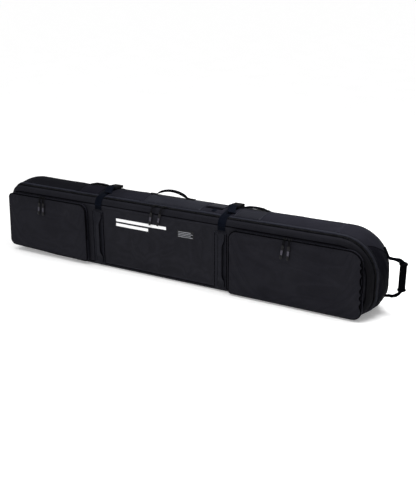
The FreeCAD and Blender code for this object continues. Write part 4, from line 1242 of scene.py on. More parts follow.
def make_seams():
    """Zip tapes and teeth, the guard beside the zip, piping and stitch rows."""
    for body, ys in (("lid", (ZIP_Y - ZIP_HALF, ZIP_Y - 0.0002)),
                     ("shell", (ZIP_Y + 0.0002, ZIP_Y + ZIP_HALF))):
        tape = tape_strip(f"main_zip_{body}_tape_cloth", *ys)
        attach(tape, body, f"main_zip_{body}_tape", slot="zip_tape")
    for body, sign in (("lid", -1), ("shell", 1)):
        points, ups = ring_line(ZIP_Y + sign * 0.0004, ZIP_RUN, -0.0002)
        across = 1 if (points[1] - points[0]).cross(ups[0]).y * sign > 0 else -1
        sewn(f"main_zip_{body}_teeth", [coil(points, ups, across)], "teeth", body, "zip_tape")

    guard = ((-0.0800, 0.0002), (-0.0792, 0.0013), (-0.0778, 0.0018), (-0.0760, 0.0019),
             (-0.0742, 0.0018), (-0.0728, 0.0013), (-0.0720, 0.0001))
    rows = []
    for y, rise in guard:
        row = []
        for p, n in zip(*ring_line(y, ZIP_RUN, 0.0, SHELL_SKIN)):
            hold = held_down(p.x, -0.075, p.z)
            soft = 0.0003 * rough(p, 0.02, 2.0)
            row.append(p + n * ((rise + soft) * (1 - hold) - 0.0003 * hold))
        rows.append(row)
    attach(open_sheet("zip_guard_fabric", rows, M["guard"], 0.0012, len(rows[0]) * 2, (0, 0, 1)),
           "shell", slot="panel_fabric")

    for name, body, y, skin in (("zip_guard_piping", "shell", -0.0702, SHELL_SKIN),
                                ("zip_lid_piping", "lid", -0.0897, LID_SKIN)):
        line, ups = ring_line(y, ZIP_RUN, 0.0002, skin)
        line = [p - n * 0.0011 * held_down(p.x, -0.075, p.z) for p, n in zip(line, ups)]
        sewn(name, [tube(line, 0.0013, ups=ups)], "piping", body, "zip_tape")

    line, ups = ring_line(FRONT_Y + 0.0004, ALL, -0.0002)
    sewn("lid_seam_piping", [tube(line, 0.0019, closed=True, ups=ups)], "piping", "lid",
         "lid_fabric")
    line, ups = ring_line(0.0995, ALL, 0.0002)
    keep = [i for i, p in enumerate(line) if not (p.x < -0.728 and 0.02 < p.z < 0.255)]
    start = next((k for k in range(1, len(keep)) if keep[k] - keep[k - 1] != 1), 0)
    order = keep[start:] + keep[:start]
    pipe = tube([line[i] for i in order], 0.0020, ups=[ups[i] for i in order])
    sewn("back_seam_piping", [pipe], "piping", "shell", "panel_fabric")

    back_run = [s for s in ALL if s[0] in ("top", "top_right", "right")]
    rows = (stitch_row(-0.0650, SHELL_SKIN, ZIP_RUN, STITCH_OFF)
            + stitch_row(-0.0760, SHELL_SKIN, ZIP_RUN, 0.0021)
            + stitch_row(0.0935, SHELL_SKIN, back_run, STITCH_OFF))
    sewn("shell_stitching", rows, "stitch", "shell", "panel_fabric")
    sewn("lid_stitching", stitch_row(-0.0990, LID_SKIN, ZIP_RUN, STITCH_OFF), "stitch", "lid",
         "lid_fabric")


make_seams()


# ---- pockets -----------------------------------------------------------------------------
POCKETS = {
    "left": dict(corners=((-0.8165, 0.257), (-0.409, 0.257), (-0.409, 0.015), (-0.827, 0.026)),
                 radii=(0.020, 0.030, 0.014, 0.024), depth=0.017),
    "right": dict(corners=((0.250, 0.257), (0.762, 0.257), (0.770, 0.008), (0.250, 0.008)),
                  radii=(0.034, 0.052, 0.034, 0.014), depth=0.013),
}
POCKET_T, SKIN_GAP = 0.0036, 0.0003
PULL_X = {"left": (-0.638, -0.620), "right": (0.476, 0.496)}


def rounded_polygon(corners, radii, shrink=0.0, step=0.005):
    """Points round a polygon of (x, z) corners with its corners rounded."""
    count = len(corners)
    pts = [Vector((c[0], c[1])) for c in corners]
    mid = sum(pts, Vector((0, 0))) / count
    pts = [p + Vector((math.copysign(shrink, mid.x - p.x), math.copysign(shrink, mid.y - p.y)))
           for p in pts]
    out, ends = [], []
    for i, p in enumerate(pts):
        a, b = (pts[i - 1] - p).normalized(), (pts[(i + 1) % count] - p).normalized()
        half = a.angle(b) / 2
        r = max(radii[i] - shrink, 0.004)
        cut = r / math.tan(half)
        centre = p + (a + b).normalized() * (r / math.sin(half))
        start, stop = p + a * cut, p + b * cut
        n = max(3, round(r * (math.pi - 2 * half) / (step * 0.7)))
        v0, v1 = start - centre, stop - centre
        turn = v0.angle_signed(v1)
        arc = []
        for k in range(n + 1):
            ang = -turn * k / n
            arc.append(centre + Vector((v0.x * math.cos(ang) - v0.y * math.sin(ang),
                                        v0.x * math.sin(ang) + v0.y * math.cos(ang))))
        ends.append(arc)
    for i, arc in enumerate(ends):
        out += arc
        nxt = ends[(i + 1) % count][0]
        run = (nxt - arc[-1]).length
        n = max(1, round(run / step))
        out += [arc[-1].lerp(nxt, k / n) for k in range(1, n)]
    return out


GATHER_Z, GATHER_PITCH = (0.040, 0.232), 0.0325


def gather(x, z, right_x):
    """0 to 1 where the far side of the right pocket is drawn up in scallops."""
    low, high = GATHER_Z
    if not low < z < high or x < right_x - 0.06:
        return 0.0
    ends = min((z - low) / 0.02, (high - z) / 0.02, 1.0)
    phase = math.pi * (z - low) / GATHER_PITCH + 0.5 * math.sin(z * 61.0)
    return ends * abs(math.sin(phase)) ** 1.4


def flap_lift(p, spec, seed, room):
    """Swell and slack of a pocket's face."""
    (ax, az), (bx, _), (_, cz) = spec["corners"][:3]
    fx, fz = clamp((p[0] - ax) / (bx - ax)), clamp((p[2] - cz) / (az - cz))
    swell = (math.sin(math.pi * fx) * math.sin(math.pi * fz ** 0.85)) ** 0.5
    slack = creases(p, 0, seed, 1.0)
    slack += 0.0009 * pucker(p[0], room, seed, 0.020, 0.016)
    slack += 0.0009 * pucker(p[2], room, seed + 3.0, 0.020, 0.016)
    if bx > 0:
        slack -= 0.0032 * gather(p[0], p[2], bx) * math.exp(-max(bx - 0.004 - p[0], 0.0) / 0.018)
    return 0.0026 * swell + slack


def relaxed(points, faces, pinned, grow, cap, frames=18):
    """Cloth settled by simulation: sewn edges stay, the slack between them buckles and sags."""
    mesh = bpy.data.meshes.new("settling")
    mesh.from_pydata([tuple(p) for p in points], [], faces)
    obj = placed("settling", mesh)
    group = obj.vertex_groups.new(name="sewn")
    for i, share in enumerate(pinned):
        if share > 0:
            group.add([i], share, "REPLACE")
    mod = obj.modifiers.new("cloth", "CLOTH")
    s = mod.settings
    s.quality = 6
    s.mass = 0.25
    s.tension_stiffness = 25.0
    s.compression_stiffness = 25.0
    s.shear_stiffness = 12.0
    s.bending_stiffness = 1.2
    s.air_damping = 2.0
    s.shrink_min = -grow
    s.shrink_max = -grow
    s.vertex_group_mass = "sewn"
    s.pin_stiffness = 1.0
    mod.collision_settings.use_collision = False
    mod.collision_settings.use_self_collision = False
    scene = bpy.context.scene
    mod.point_cache.frame_start = 1
    mod.point_cache.frame_end = frames
    for frame_number in range(1, frames + 1):
        scene.frame_set(frame_number)
    graph = bpy.context.evaluated_depsgraph_get()
    settled = obj.evaluated_get(graph).to_mesh()
    out = []
    for p, v in zip(points, settled.vertices):
        move = v.co - Vector(p)
        size = move.length
        if size > 1e-9:
            move *= cap * math.tanh(size / cap) / size
        out.append(Vector(p) + move)
    obj.evaluated_get(graph).to_mesh_clear()
    bpy.data.objects.remove(obj)
    bpy.data.meshes.remove(mesh)
    scene.frame_set(1)
    return out


def pocket_flap(side):
    """Padded face of a pocket: settled cloth over a thin fill, with a turned edge."""
    spec = POCKETS[side]
    seed = 41.0 if side == "left" else 57.0
    front = FRONT_Y - spec["depth"] - SKIN_GAP - POCKET_T
    back = FRONT_Y - spec["depth"] - SKIN_GAP
    rim = rounded_polygon(spec["corners"], spec["radii"], 0.0)
    xs, zs = [p.x for p in rim], [p.y for p in rim]
    x0, x1, z0, z1 = min(xs), max(xs), min(zs), max(zs)
    columns, rows = int((x1 - x0) / 0.0052), int((z1 - z0) / 0.0052)
    edge = Outline(rim)
    verts, room = [], []
    for r in range(rows + 1):
        for c in range(columns + 1):
            x, z = x0 + (x1 - x0) * c / columns, z0 + (z1 - z0) * r / rows
            p, gap = edge.inside(x, z)
            verts.append(Vector((p.x, front, p.y)))
            room.append(gap)
    faces = grid_faces(rows + 1, columns + 1)
    start = []
    for p, gap in zip(verts, room):
        ease = 1.0 - math.exp(-gap / 0.014)
        round_edge = 0.0024 * math.exp(-gap / 0.0022)
        lift = flap_lift(p, spec, seed, gap) * ease
        start.append(p + Vector((0, -lift + round_edge, 0)))
    pins = [1.0 if gap < 0.003 else max(0.0, 0.35 - gap / 0.05) for gap in room]
    settled = relaxed(start, faces, pins, 0.004, cap=0.0030)
    out = []
    for p, s in zip(verts, settled):
        y = max(s.y, front - 0.0058)
        if p.z > z1 - 0.085 and any(abs(p.x - x) < 0.030 for x in PULL_X[side]):
            y = max(y, front - 0.0022)
        out.append(Vector((s.x, min(y, back - 0.0004), s.z)))
    inner = [Vector((p.x, back, p.z)) for p in verts]
    outer, inner = ([flat[i:i + columns + 1] for i in range(0, len(flat), columns + 1)]
                    for flat in (out, inner))
    flap = closed_sheet(f"{side}_pocket_face", outer, inner, M["pocket"])
    attach(flap, f"{side}_flap", f"{side}_pocket_flap", slot="pocket_fabric")
    return flap


class Outline:
    """A closed outline in x and z that pulls outside points onto itself."""

    def __init__(self, rim):
        self.rim = rim

    def nearest(self, p):
        """The outline's nearest point to p, and how far it is."""
        best, at = 9.0, p
        for a, b in zip(self.rim, self.rim[1:] + self.rim[:1]):
            d = b - a
            k = clamp((p - a).dot(d) / max(d.length_squared, 1e-12))
            q = a + d * k
            gap = (p - q).length
            if gap < best:
                best, at = gap, q
        return at, best

    def holds(self, p):
        """Whether p is inside the outline."""
        odd = False
        for a, b in zip(self.rim, self.rim[1:] + self.rim[:1]):
            if (a.y > p.y) != (b.y > p.y) and p.x < (b.x - a.x) * (p.y - a.y) / (b.y - a.y) + a.x:
                odd = not odd
        return odd

    def inside(self, x, z):
        """(x, z), or the outline's nearest point to it, and its room to the outline."""
        p = Vector((x, z))
        at, gap = self.nearest(p)
        return (p, gap) if self.holds(p) and gap > 0.0002 else (at, 0.0)


def outline_3d(spec, y, shrink=0.0):
    """A pocket's outline in the plane of one y."""
    pts = rounded_polygon(spec["corners"], spec["radii"], shrink, 0.004)
    return [Vector((p.x, y, p.y)) for p in pts]


def normals_out(points):
    """Outward normals, in x and z, of a closed outline."""
    mid = sum(points, Vector()) / len(points)
    out = []
    for i, p in enumerate(points):
        t = (points[(i + 1) % len(points)] - points[i - 1]).normalized()
        n = Vector((0, 1, 0)).cross(t)
        if n.dot(p - mid) < 0:
            n = -n
        out.append(n.normalized())
    return out


def pocket_gusset(side):
    """Folded side wall of a pocket, with its zip along the top and the far side."""
    spec = POCKETS[side]
    seed = 71.0 if side == "left" else 83.0
    base = outline_3d(spec, 0.0)
    ups = normals_out(base)
    y_back, y_front = FRONT_Y - SKIN_GAP, FRONT_Y - spec["depth"]
    bx, bz = spec["corners"][1]
    rows = []
    for share in (0.0, 0.12, 0.25, 0.38, 0.5, 0.62, 0.75, 0.88, 1.0):
        y = y_back + (y_front - y_back) * share
        row = []
        for p, n in zip(base, ups):
            drawn_up = side == "right" and p.x > bx - 0.02 and 0.02 < p.z < bz - 0.03
            bunch = 1.0 if drawn_up else 0.35
            fold = 0.0003 * math.sin(math.pi * share) + 0.0012 * bunch * pucker(
                p.x + p.z * 1.3, abs(share - 0.5) * 0.02, seed, 0.011, 0.02)
            row.append(Vector((p.x, y, p.z)) + n * min(fold, 0.0006))
        rows.append(row)
    inner = [[p - n * PANEL_T for p, n in zip(row, ups)] for row in rows]
    wall = closed_sheet(f"{side}_pocket_wall", rows, inner, M["pocket_edge"], wrap=True)
    attach(wall, "lid", f"{side}_pocket_gusset", slot="pocket_fabric")

    zip_y = y_front + 0.0004
    part = [i for i, p in enumerate(base)
            if p.z > bz - 0.03 or (p.x > bx - 0.06 and p.z > bz - 0.150)]
    jump = next((k for k in range(1, len(part)) if part[k] - part[k - 1] > 1), 0)
    order = part[jump:] + part[:jump]
    up = [ups[i] for i in order]
    line = [Vector((base[i].x, zip_y, base[i].z)) + ups[i] * 0.0002 for i in order]
    sewn(f"{side}_pocket_teeth", [coil(line, up, 1)], "teeth", "lid", "zip_tape")
    tape_rows = [[Vector((p.x, zip_y + dy, p.z)) + n * lift for p, n in zip(line, up)]
                 for dy, lift in ((0.0040, 0.0), (0.0036, 0.0007), (0.0014, 0.0007),
                                  (0.0012, -0.0002))]
    attach(open_sheet(f"{side}_pocket_tape", tape_rows, M["tape"], 0.0006), "lid", slot="zip_tape")

    for name, y, shrink, radius, body in (
            ("piping", y_front - SKIN_GAP - 0.0012, 0.0003, 0.0016, f"{side}_flap"),
            ("root_piping", FRONT_Y - 0.0012, -0.0002, 0.0009, "lid")):
        edge = outline_3d(spec, y, shrink)
        pipe = tube(edge, radius, closed=True, ups=normals_out(edge))
        sewn(f"{side}_pocket_{name}", [pipe], "piping", body, "pocket_fabric")




def pocket_zip_line(side, skin):
    """Dark zip line just inside the edge of a pocket's face, drawn up where the cloth gathers."""
    spec = POCKETS[side]
    right_x = spec["corners"][1][0]
    base = rounded_polygon(spec["corners"], spec["radii"], 0.0, 0.004)
    count = len(base)
    mid = Vector(((spec["corners"][0][0] + right_x) / 2, spec["corners"][1][1] / 2))
    line, ups, widths = [], [], []
    for i, p in enumerate(base):
        t = (base[(i + 1) % count] - base[i - 1]).normalized()
        n = Vector((-t.y, t.x))
        n = n if n.dot(mid - p) > 0 else -n
        draw = gather(p.x, p.y, right_x) if side == "right" else 0.0
        inset = 0.0016 + 0.0050 * draw
        q, up = skin.front(p.x + n.x * inset, p.y + n.y * inset, 0.0002)
        line.append(q)
        ups.append(up)
        widths.append(1.0 + 2.2 * draw)
    last = count - 1
    parts = swept(line, round_section(0.0011), up=ups, closed=True,
                  scale=lambda f: (widths[min(round(f * last), last)], 1.0))
    sewn(f"{side}_pocket_zip_line", [parts], "tape", f"{side}_flap", "zip_tape")


for side in SIDES:
    face = pocket_flap(side)
    pocket_gusset(side)
    skin = Surface(face)
    flat = rounded_polygon(POCKETS[side]["corners"], POCKETS[side]["radii"], 0.0095)
    sewn(f"{side}_pocket_stitching", [stitch_line(skin, "front", flat + flat[:1])], "stitch",
         f"{side}_flap", "pocket_fabric")
    pocket_zip_line(side, skin)


# ---- straps, bands and side handles ------------------------------------------------------
def profile_points():
    """Points over the top of the bag from front to back, as (y, z), just above it."""
    out = []
    for cy, ci, r, a0, a1 in TOP_ARCS:
        n = max(2, int((r + SKIN_GAP) * (a1 - a0) / 0.003))
        for i in range(n + 1):
            a = a0 + (a1 - a0) * i / n
            out.append((cy + (r + SKIN_GAP) * math.sin(a),
                        CROWN_Z - ci + (r + SKIN_GAP) * math.cos(a)))
    return out


def webbing_strip(x, path):
    """(verts, faces) of strap webbing along a (y, z) path at one x, lying on the path."""
    pts = rounded_path([(x, y, z) for y, z in path], 0.003, 1)
    ups = [Vector((1, 0, 0)).cross(t).normalized() for t in tangents(pts)]
    if ups[len(ups) // 2].dot(pts[len(pts) // 2] - Vector((x, 0, 0.13))) < 0:
        ups = [-u for u in ups]
    return swept(pts, strap_section(STRAP_W, STRAP_T), up=ups)


def box_stitch(surface, how, x0, x1, c0, c1, cross=True, off=STITCH_OFF):
    """Stitched box, with a cross or without, on a surface seen from the front or from above."""
    runs = [((x0, c0), (x1, c0)), ((x1, c0), (x1, c1)), ((x1, c1), (x0, c1)), ((x0, c1), (x0, c0))]
    if cross:
        runs += [((x0, c0), (x1, c1)), ((x0, c1), (x1, c0))]
    parts = []
    for (ax, az), (bx, bz) in runs:
        n = max(2, round(math.hypot(bx - ax, bz - az) / 0.004))
        line = [(ax + (bx - ax) * i / n, az + (bz - az) * i / n) for i in range(n + 1)]
        parts.append(stitch_line(surface, how, line, off))
    return parts


STRAP_T, STRAP_ROOT_Z, MOUTH_Y = 0.0022, 0.244, 0.012


def make_strap(side):
    """Compression strap over the bag: front part with its tail, rear part, root stitching."""
    x, body = STRAP_X[side], f"{side}_strap"
    over = profile_points()
    front = [(FRONT_Y - SKIN_GAP, STRAP_ROOT_Z + 0.0008), over[0]]
    front += [p for p in over if p[0] < MOUTH_Y - 0.004]
    strap = sewn(f"{side}_strap_front_web", [webbing_strip(x, front)], "strap", body,
                 "strap_webbing", f"{side}_strap_front")
    rear = [p for p in over if p[0] > MOUTH_Y + 0.002]
    last = rear[-1]
    rear += [(last[0], last[1] - 0.05), (last[0], 0.0095)]
    sewn(f"{side}_strap_rear_web", [webbing_strip(x, rear)], "strap", "shell", "strap_webbing",
         f"{side}_strap_rear")

    # the tail's points: how far aside of the strap, behind the mouth and above the gusset
    tail = ((0.001, 0.010, 0.0125), (0.001, 0.020, 0.0132), (0.002, 0.034, 0.0110),
            (0.006, 0.048, 0.0068), (0.012, 0.060, 0.0052), (0.018, 0.071, 0.0058))
    pts = rounded_path([(x + dx, MOUTH_Y - dy, top_z(MOUTH_Y - dy) + dz) for dx, dy, dz in tail],
                       0.003, 3)
    shares = [i / (len(pts) - 1) for i in range(len(pts))]
    ups = [Vector((0.10 + 0.25 * f, -0.12 - 0.1 * f, 1.0)).normalized() for f in shares]
    sewn(f"{side}_strap_tail", [swept(pts, strap_section(0.030, 0.0020), up=ups)], "strap", body,
         "strap_webbing")

    box = box_stitch(Surface(strap), "front", x - 0.013, x + 0.013, STRAP_ROOT_Z + 0.003,
                     STRAP_ROOT_Z + 0.0145, cross=False, off=0.0003)
    sewn(f"{side}_strap_stitching", box, "stitch", body, "strap_webbing")


BAND_Z = (0.012, 0.240)
BAND_ACROSS = (-1.0, -0.97, -0.8, -0.45, -0.1, 0.25, 0.6, 0.85, 0.97, 1.0)


def make_band(side):
    """Flat reinforcement down the lid, with its stitching and bound edges."""
    x = STRAP_X[side]
    mid, half, y = x + BAND_SHIFT, BAND_W / 2, FRONT_Y - SKIN_GAP
    (z0, z1), n = BAND_Z, 76
    rows = []
    for i in range(n + 1):
        z = z0 + (z1 - z0) * i / n
        row = []
        for u in BAND_ACROSS:
            edge = 0.0004 if abs(u) > 0.99 else (0.0011 if abs(u) > 0.9 else 0.0015)
            wob = 0.00035 * rough((u * half, 0, z), 0.02, 5.0 + x)
            aside = 0.0004 * rough((0, 0, z), 0.04, x)
            row.append(Vector((mid + u * half + aside, y - edge - wob, z)))
        rows.append(row)
    band = open_sheet(f"{side}_lash_band_cloth", rows, M["band_web"], 0.0010, 4, (0, -1, 0))
    attach(band, "lid", f"{side}_lash_band", slot="strap_webbing")
    skin = Surface(band)
    parts = []
    for u in (-0.90, 0.90):
        pts = [skin.front(mid + u * half, z0 + 0.003 + (z1 - z0 - 0.006) * i / 56, STITCH_OFF)[0]
               for i in range(57)]
        parts.append(stitches(pts, [Vector((0, -1, 0))] * len(pts)))
    parts += box_stitch(skin, "front", mid - 0.021, mid + 0.021, 0.222, 0.236, cross=False)
    sewn(f"{side}_lash_band_stitching", parts, "stitch", "lid", "strap_webbing")
    edges = [tube([skin.front(mid + u * (half - 0.0008), z0 + (z1 - z0) * i / 40)[0]
                   for i in range(1, 40)], 0.0012) for u in (-1, 1)]
    sewn(f"{side}_lash_band_binding", edges, "piping", "lid", "strap_webbing")


def make_side_handle(side):
    """Carry handle sewn on a lash band: narrow in the middle, with dark strips along its sides as
    painted shadow of the gaps beside it.
    """
    x = STRAP_X[side]
    y0 = FRONT_Y - SKIN_GAP - 0.0015 - 0.0002
    y1 = y0 - 0.009
    path = [(y0, 0.018), (y0, 0.044), (y1, 0.066), (y1, 0.190), (y0, 0.212), (y0, 0.236)]
    pts = rounded_path([(x, a, b) for a, b in path], 0.003, 4)
    last = len(pts) - 1

    def narrow(f):
        inner = eased(clamp((min(f, 1 - f) - 0.10) / 0.16))
        return (1.0 - 0.42 * inner, 1.0 + 0.35 * inner)

    out = Vector((0, -1, 0))
    web = swept(pts, strap_section(0.030, 0.0024), up=[out] * len(pts), scale=narrow)
    handle = sewn(f"{side}_side_handle_web", [web], "grip_web", "lid", "handle_webbing",
                  f"{side}_side_handle")
    edges, seam = [], []
    # painted shadow: thin dark tubes along the handle's sides stand for the shade in the gaps
    # between handle and band
    for u in (-1, 1):
        edges.append(tube([p + Vector((u * (0.0150 * narrow(i / last)[0] + 0.0002), -0.0008, 0))
                           for i, p in enumerate(pts) if 2 <= i <= last - 2], 0.0015))
        line = [p + Vector((u * 0.0070, -0.0034, 0)) for i, p in enumerate(pts)
                if 0.2 < i / last < 0.8]
        seam.append(stitches(line, [out] * len(line)))
    sewn(f"{side}_side_handle_gap_shadow", edges, "piping", "lid", "handle_webbing")
    for a, b in ((0.020, 0.042), (0.214, 0.234)):
        seam += box_stitch(Surface(handle), "front", x - 0.012, x + 0.012, a, b)
    sewn(f"{side}_side_handle_stitching", seam, "stitch", "lid", "handle_webbing")


for side in SIDES:
    make_strap(side)
    make_band(side)
    make_side_handle(side)


# ---- top handles and their patches -------------------------------------------------------
HANDLE_AXIS_Z = top_z(HANDLE_Y) + 0.0065


def make_patch(name):
    """Reinforcement patch, curved at its left edge, with a double row of stitches."""
    (x0, x1), (y0, y1) = PATCH_X[name], PATCH_Y
    curve = 0.004 if name == "front" else 0.014
    columns, rows = max(12, int((x1 - x0) / 0.005)), 34
    grid = []
    for r in range(rows + 1):
        share = r / rows
        y = y0 + (y1 - y0) * share
        left = x0 + curve - curve * math.sin(math.pi * share)
        row = []
        for c in range(columns + 1):
            f = c / columns
            x = left + (x1 - left) * f
            rim = min(min(f, 1 - f) * (x1 - x0), min(share, 1 - share) * (y1 - y0))
            lift = SKIN_GAP + 0.0013 * (1 - math.exp(-rim / 0.0012))
            lift += 0.0002 * rough((x, y, 0), 0.03, 3.0)
            row.append(Vector((x, y, top_z(y) + lift)))
        grid.append(row)
    # the rear patch takes the darker copy of the patch cloth as painted shade
    look = M["rear_patch_painted_shade" if name == "rear" else "patch"]
    patch = open_sheet(f"{name}_handle_patch", grid, look, 0.0009, 4, (0, 0, 1))
    attach(patch, "shell", *(["handle_patches"] if name == "middle" else []), slot="patch_fabric")
    skin = Surface(patch)
    parts = []
    for inset in (0.004, 0.0075):
        left, right, low, high = x0 + inset + curve, x1 - inset, y0 + inset, y1 - inset
        line = []
        for i in range(31):
            y = low + (high - low) * i / 30
            line.append((left - curve * math.sin(math.pi * (y - y0) / (y1 - y0)), y))
        line += [(left + (right - left) * i / 30, high) for i in range(1, 31)]
        line += [(right, high - (high - low) * i / 30) for i in range(1, 31)]
        line += [(right + (left - right) * i / 30, low) for i in range(1, 31)]
        parts.append(stitch_line(skin, "top", line))
    sewn(f"{name}_patch_stitching", parts, "stitch", "shell", "patch_fabric")


def make_top_handle(name):
    """Webbing handle: sewn feet, a narrow neck at each end and an arch folded round itself."""
    x, span, rise = HANDLE_X[name]
    half, middle = span / 2, name == "middle"
    base = HANDLE_AXIS_Z + 0.002
    if not middle:
        rise, base = rise * 0.45, HANDLE_AXIS_Z - 0.0022 + 0.002
    r = (half * half + rise * rise) / (2 * rise)
    centre, a = base + rise - r, math.asin(half / r)
    foot_z = top_z(HANDLE_Y) + 0.0026
    sewn_to = 0.038 if middle else 0.0155
    near, far = (0.017, 0.035) if middle else (0.008, 0.0145)
    leans = [-a + 2 * a * i / 16 for i in range(17)]
    arc = [(x + r * math.sin(v), centre + r * math.cos(v)) for v in leans]
    route = [(x - half - sewn_to, foot_z - 0.0003), (x - half - 0.012, foot_z),
             (x - half - 0.002, HANDLE_AXIS_Z - 0.0005)] + arc[1:-1]
    route += [(x + half + 0.002, HANDLE_AXIS_Z - 0.0005), (x + half + 0.012, foot_z),
              (x + half + sewn_to, foot_z - 0.0003)]
    pts = rounded_path([(px, HANDLE_Y, pz) for px, pz in route], 0.0018, 3)
    verts, ring = [], 16
    for p, (s, u) in zip(pts, frames_along(pts)):
        out = abs(p.x - x) - half
        fold = eased(clamp((0.006 - out) / 0.022))
        neck = math.exp(-((out - 0.001) / 0.007) ** 2)
        wide = (0.011 * (1 - fold) + 0.0095 * fold) * (1 - 0.35 * neck)
        high = 0.0011 * (1 - fold) + (0.0044 if middle else 0.0036) * fold
        power = 0.35 * (1 - fold) + 0.75 * fold
        for k in range(ring):
            v = 2 * math.pi * k / ring
            verts.append(p + s * (squared(math.cos(v), power) * wide)
                         + u * (squared(math.sin(v), power) * high))
    web = joined(f"{name}_handle_web", [(verts, tube_faces(len(pts), ring))], M["strap_x"])
    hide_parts(f"{name}_top_handle")
    skin = Surface(web)
    threads, seam = [], []
    for sgn in (-1, 1):
        c0, c1 = sorted((x + sgn * (half + near), x + sgn * (half + far)))
        threads += box_stitch(skin, "top", c0, c1, HANDLE_Y - 0.008, HANDLE_Y + 0.008)
        line = [(p.x, HANDLE_Y + sgn * 0.0045) for p in pts if abs(p.x - x) < half - 0.012]
        seam.append(stitch_line(skin, "top", line))
    sewn(f"{name}_feet_stitching", threads, "stitch", "shell", "handle_webbing")
    sewn(f"{name}_handle_stitching", seam, "stitch", f"{name}_handle", "handle_webbing")
    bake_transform(web)


for name in HANDLE_X:
    make_patch(name)
    make_top_handle(name)


# ---- zip pulls ---------------------------------------------------------------------------
PULL_SWING = {"main": (11.0, 16.0), "left_pocket": (9.0, 4.0), "right_pocket": (9.0, 4.0)}
SLIDER_X = {"main": (-0.088, -0.046), **{f"{side}_pocket": PULL_X[side] for side in SIDES}}


def slider_seats():
    """Place of each zip's sliders: y, z, lean in degrees, and how far out the pulls hang."""
    turn = math.degrees(math.acos((FRONT_Y + FRONT_R - ZIP_Y) / FRONT_R))
    seats = {"main": (ZIP_Y, top_z(ZIP_Y), 90 - turn, FRONT_Y - 0.007)}
    for side in SIDES:
        y = FRONT_Y - POCKETS[side]["depth"] - 0.001
        seats[f"{side}_pocket"] = (y, POCKETS[side]["corners"][0][1] + 0.0004, 0.0,
                                   y - POCKET_T - 0.0055)
    return seats


GRIP_LEVELS = ((0.0, 0.55), (0.02, 0.80), (0.06, 0.97), (0.12, 1.0), (0.20, 0.96), (0.24, 0.90),
               (0.27, 0.96), (0.31, 0.90), (0.34, 0.96), (0.50, 0.90), (0.68, 0.86), (0.72, 0.95),
               (0.76, 0.88), (0.80, 0.97), (0.88, 1.0), (0.95, 0.92), (0.985, 0.74), (1.0, 0.5))


def grip_shape(x, y, z1, z0):
    """(verts, faces) of a pull's moulded grip: a rounded bar with a waist and ribbed ends."""
    verts, ring = [], 12
    for f, k in GRIP_LEVELS:
        for i in range(ring):
            a = 2 * math.pi * i / ring
            verts.append(Vector((x + squared(math.cos(a), 0.6) * 0.0050 * k,
                                 y + squared(math.sin(a), 0.6) * 0.0026 * k,
                                 z1 + (z0 - z1) * f)))
    return verts, tube_faces(len(GRIP_LEVELS), ring)


def make_pull(zip_name, part, x, swing, seat):
    """Cord loop through the slider, with a moulded grip whose middle front faces take a lighter
    metal material as a painted highlight.
    """
    y, z, lean, hang_y = seat
    a = math.radians(lean)
    out, up = 0.0051, -0.0014
    py = y + up * math.cos(a) - out * math.sin(a)
    pz = z + up * math.sin(a) + out * math.cos(a)
    turn = Matrix.Rotation(math.radians(swing), 4, Vector((0, 1, 0)))
    about = Matrix.Translation((x, py, pz)) @ turn @ Matrix.Translation((-x, -py, -pz))
    knee, turn_y = pz - 0.016, 0.7 * hang_y + 0.3 * py
    parts = []
    for s in (-1, 1):
        line = [(x + s * 0.0024, py + 0.0002, pz), (x + s * 0.0026, turn_y, pz - 0.0004),
                (x + s * 0.0026, hang_y, knee + 0.003), (x + s * 0.0014, hang_y, knee - 0.013)]
        parts.append(tube(rounded_path(line, 0.0012, 3), 0.0015))
    pin = [Vector((x - 0.0036, py, pz)), Vector((x + 0.0036, py, pz))]
    parts.append(tube(pin, 0.0011, 10))
    cord = joined(f"{zip_name}_pull_{part}_loop", parts, M["cord"])
    z1, z0 = knee - 0.009, pz - 0.078
    grip = joined(f"{zip_name}_pull_{part}_grip", [grip_shape(x, hang_y, z1, z0)], M["rubber"])
    grip.data.materials.append(M["painted_highlight"])
    # painted highlight: the grip's middle faces that face the front take the lighter metal material
    for poly in grip.data.polygons:
        f = (poly.center.z - z1) / (z0 - z1)
        if 0.38 < f < 0.66 and poly.normal.y < -0.6:
            poly.material_index = 1
    for obj in (cord, grip):
        obj.data.transform(about)
    attach(cord, f"{zip_name}_pull_{part}", f"{zip_name}_pull_{part}", slot="pull_rubber")
    attach(grip, f"{zip_name}_pull_{part}", slot="pull_rubber")


SEATS = slider_seats()
for zip_name, seat in SEATS.items():
    for part, x, swing in zip("ab", SLIDER_X[zip_name], PULL_SWING[zip_name]):
        make_pull(zip_name, part, x, swing, seat)


# ---- pull handle on the round end --------------------------------------------------------
END_AXIS_X, END_W, END_T = 0.824, 0.026, 0.003
END_Z, GRIP_X, GRIP_MID, GRIP_L, GRIP_R = (0.062, 0.200), 0.860, 0.142, 0.104, 0.0105


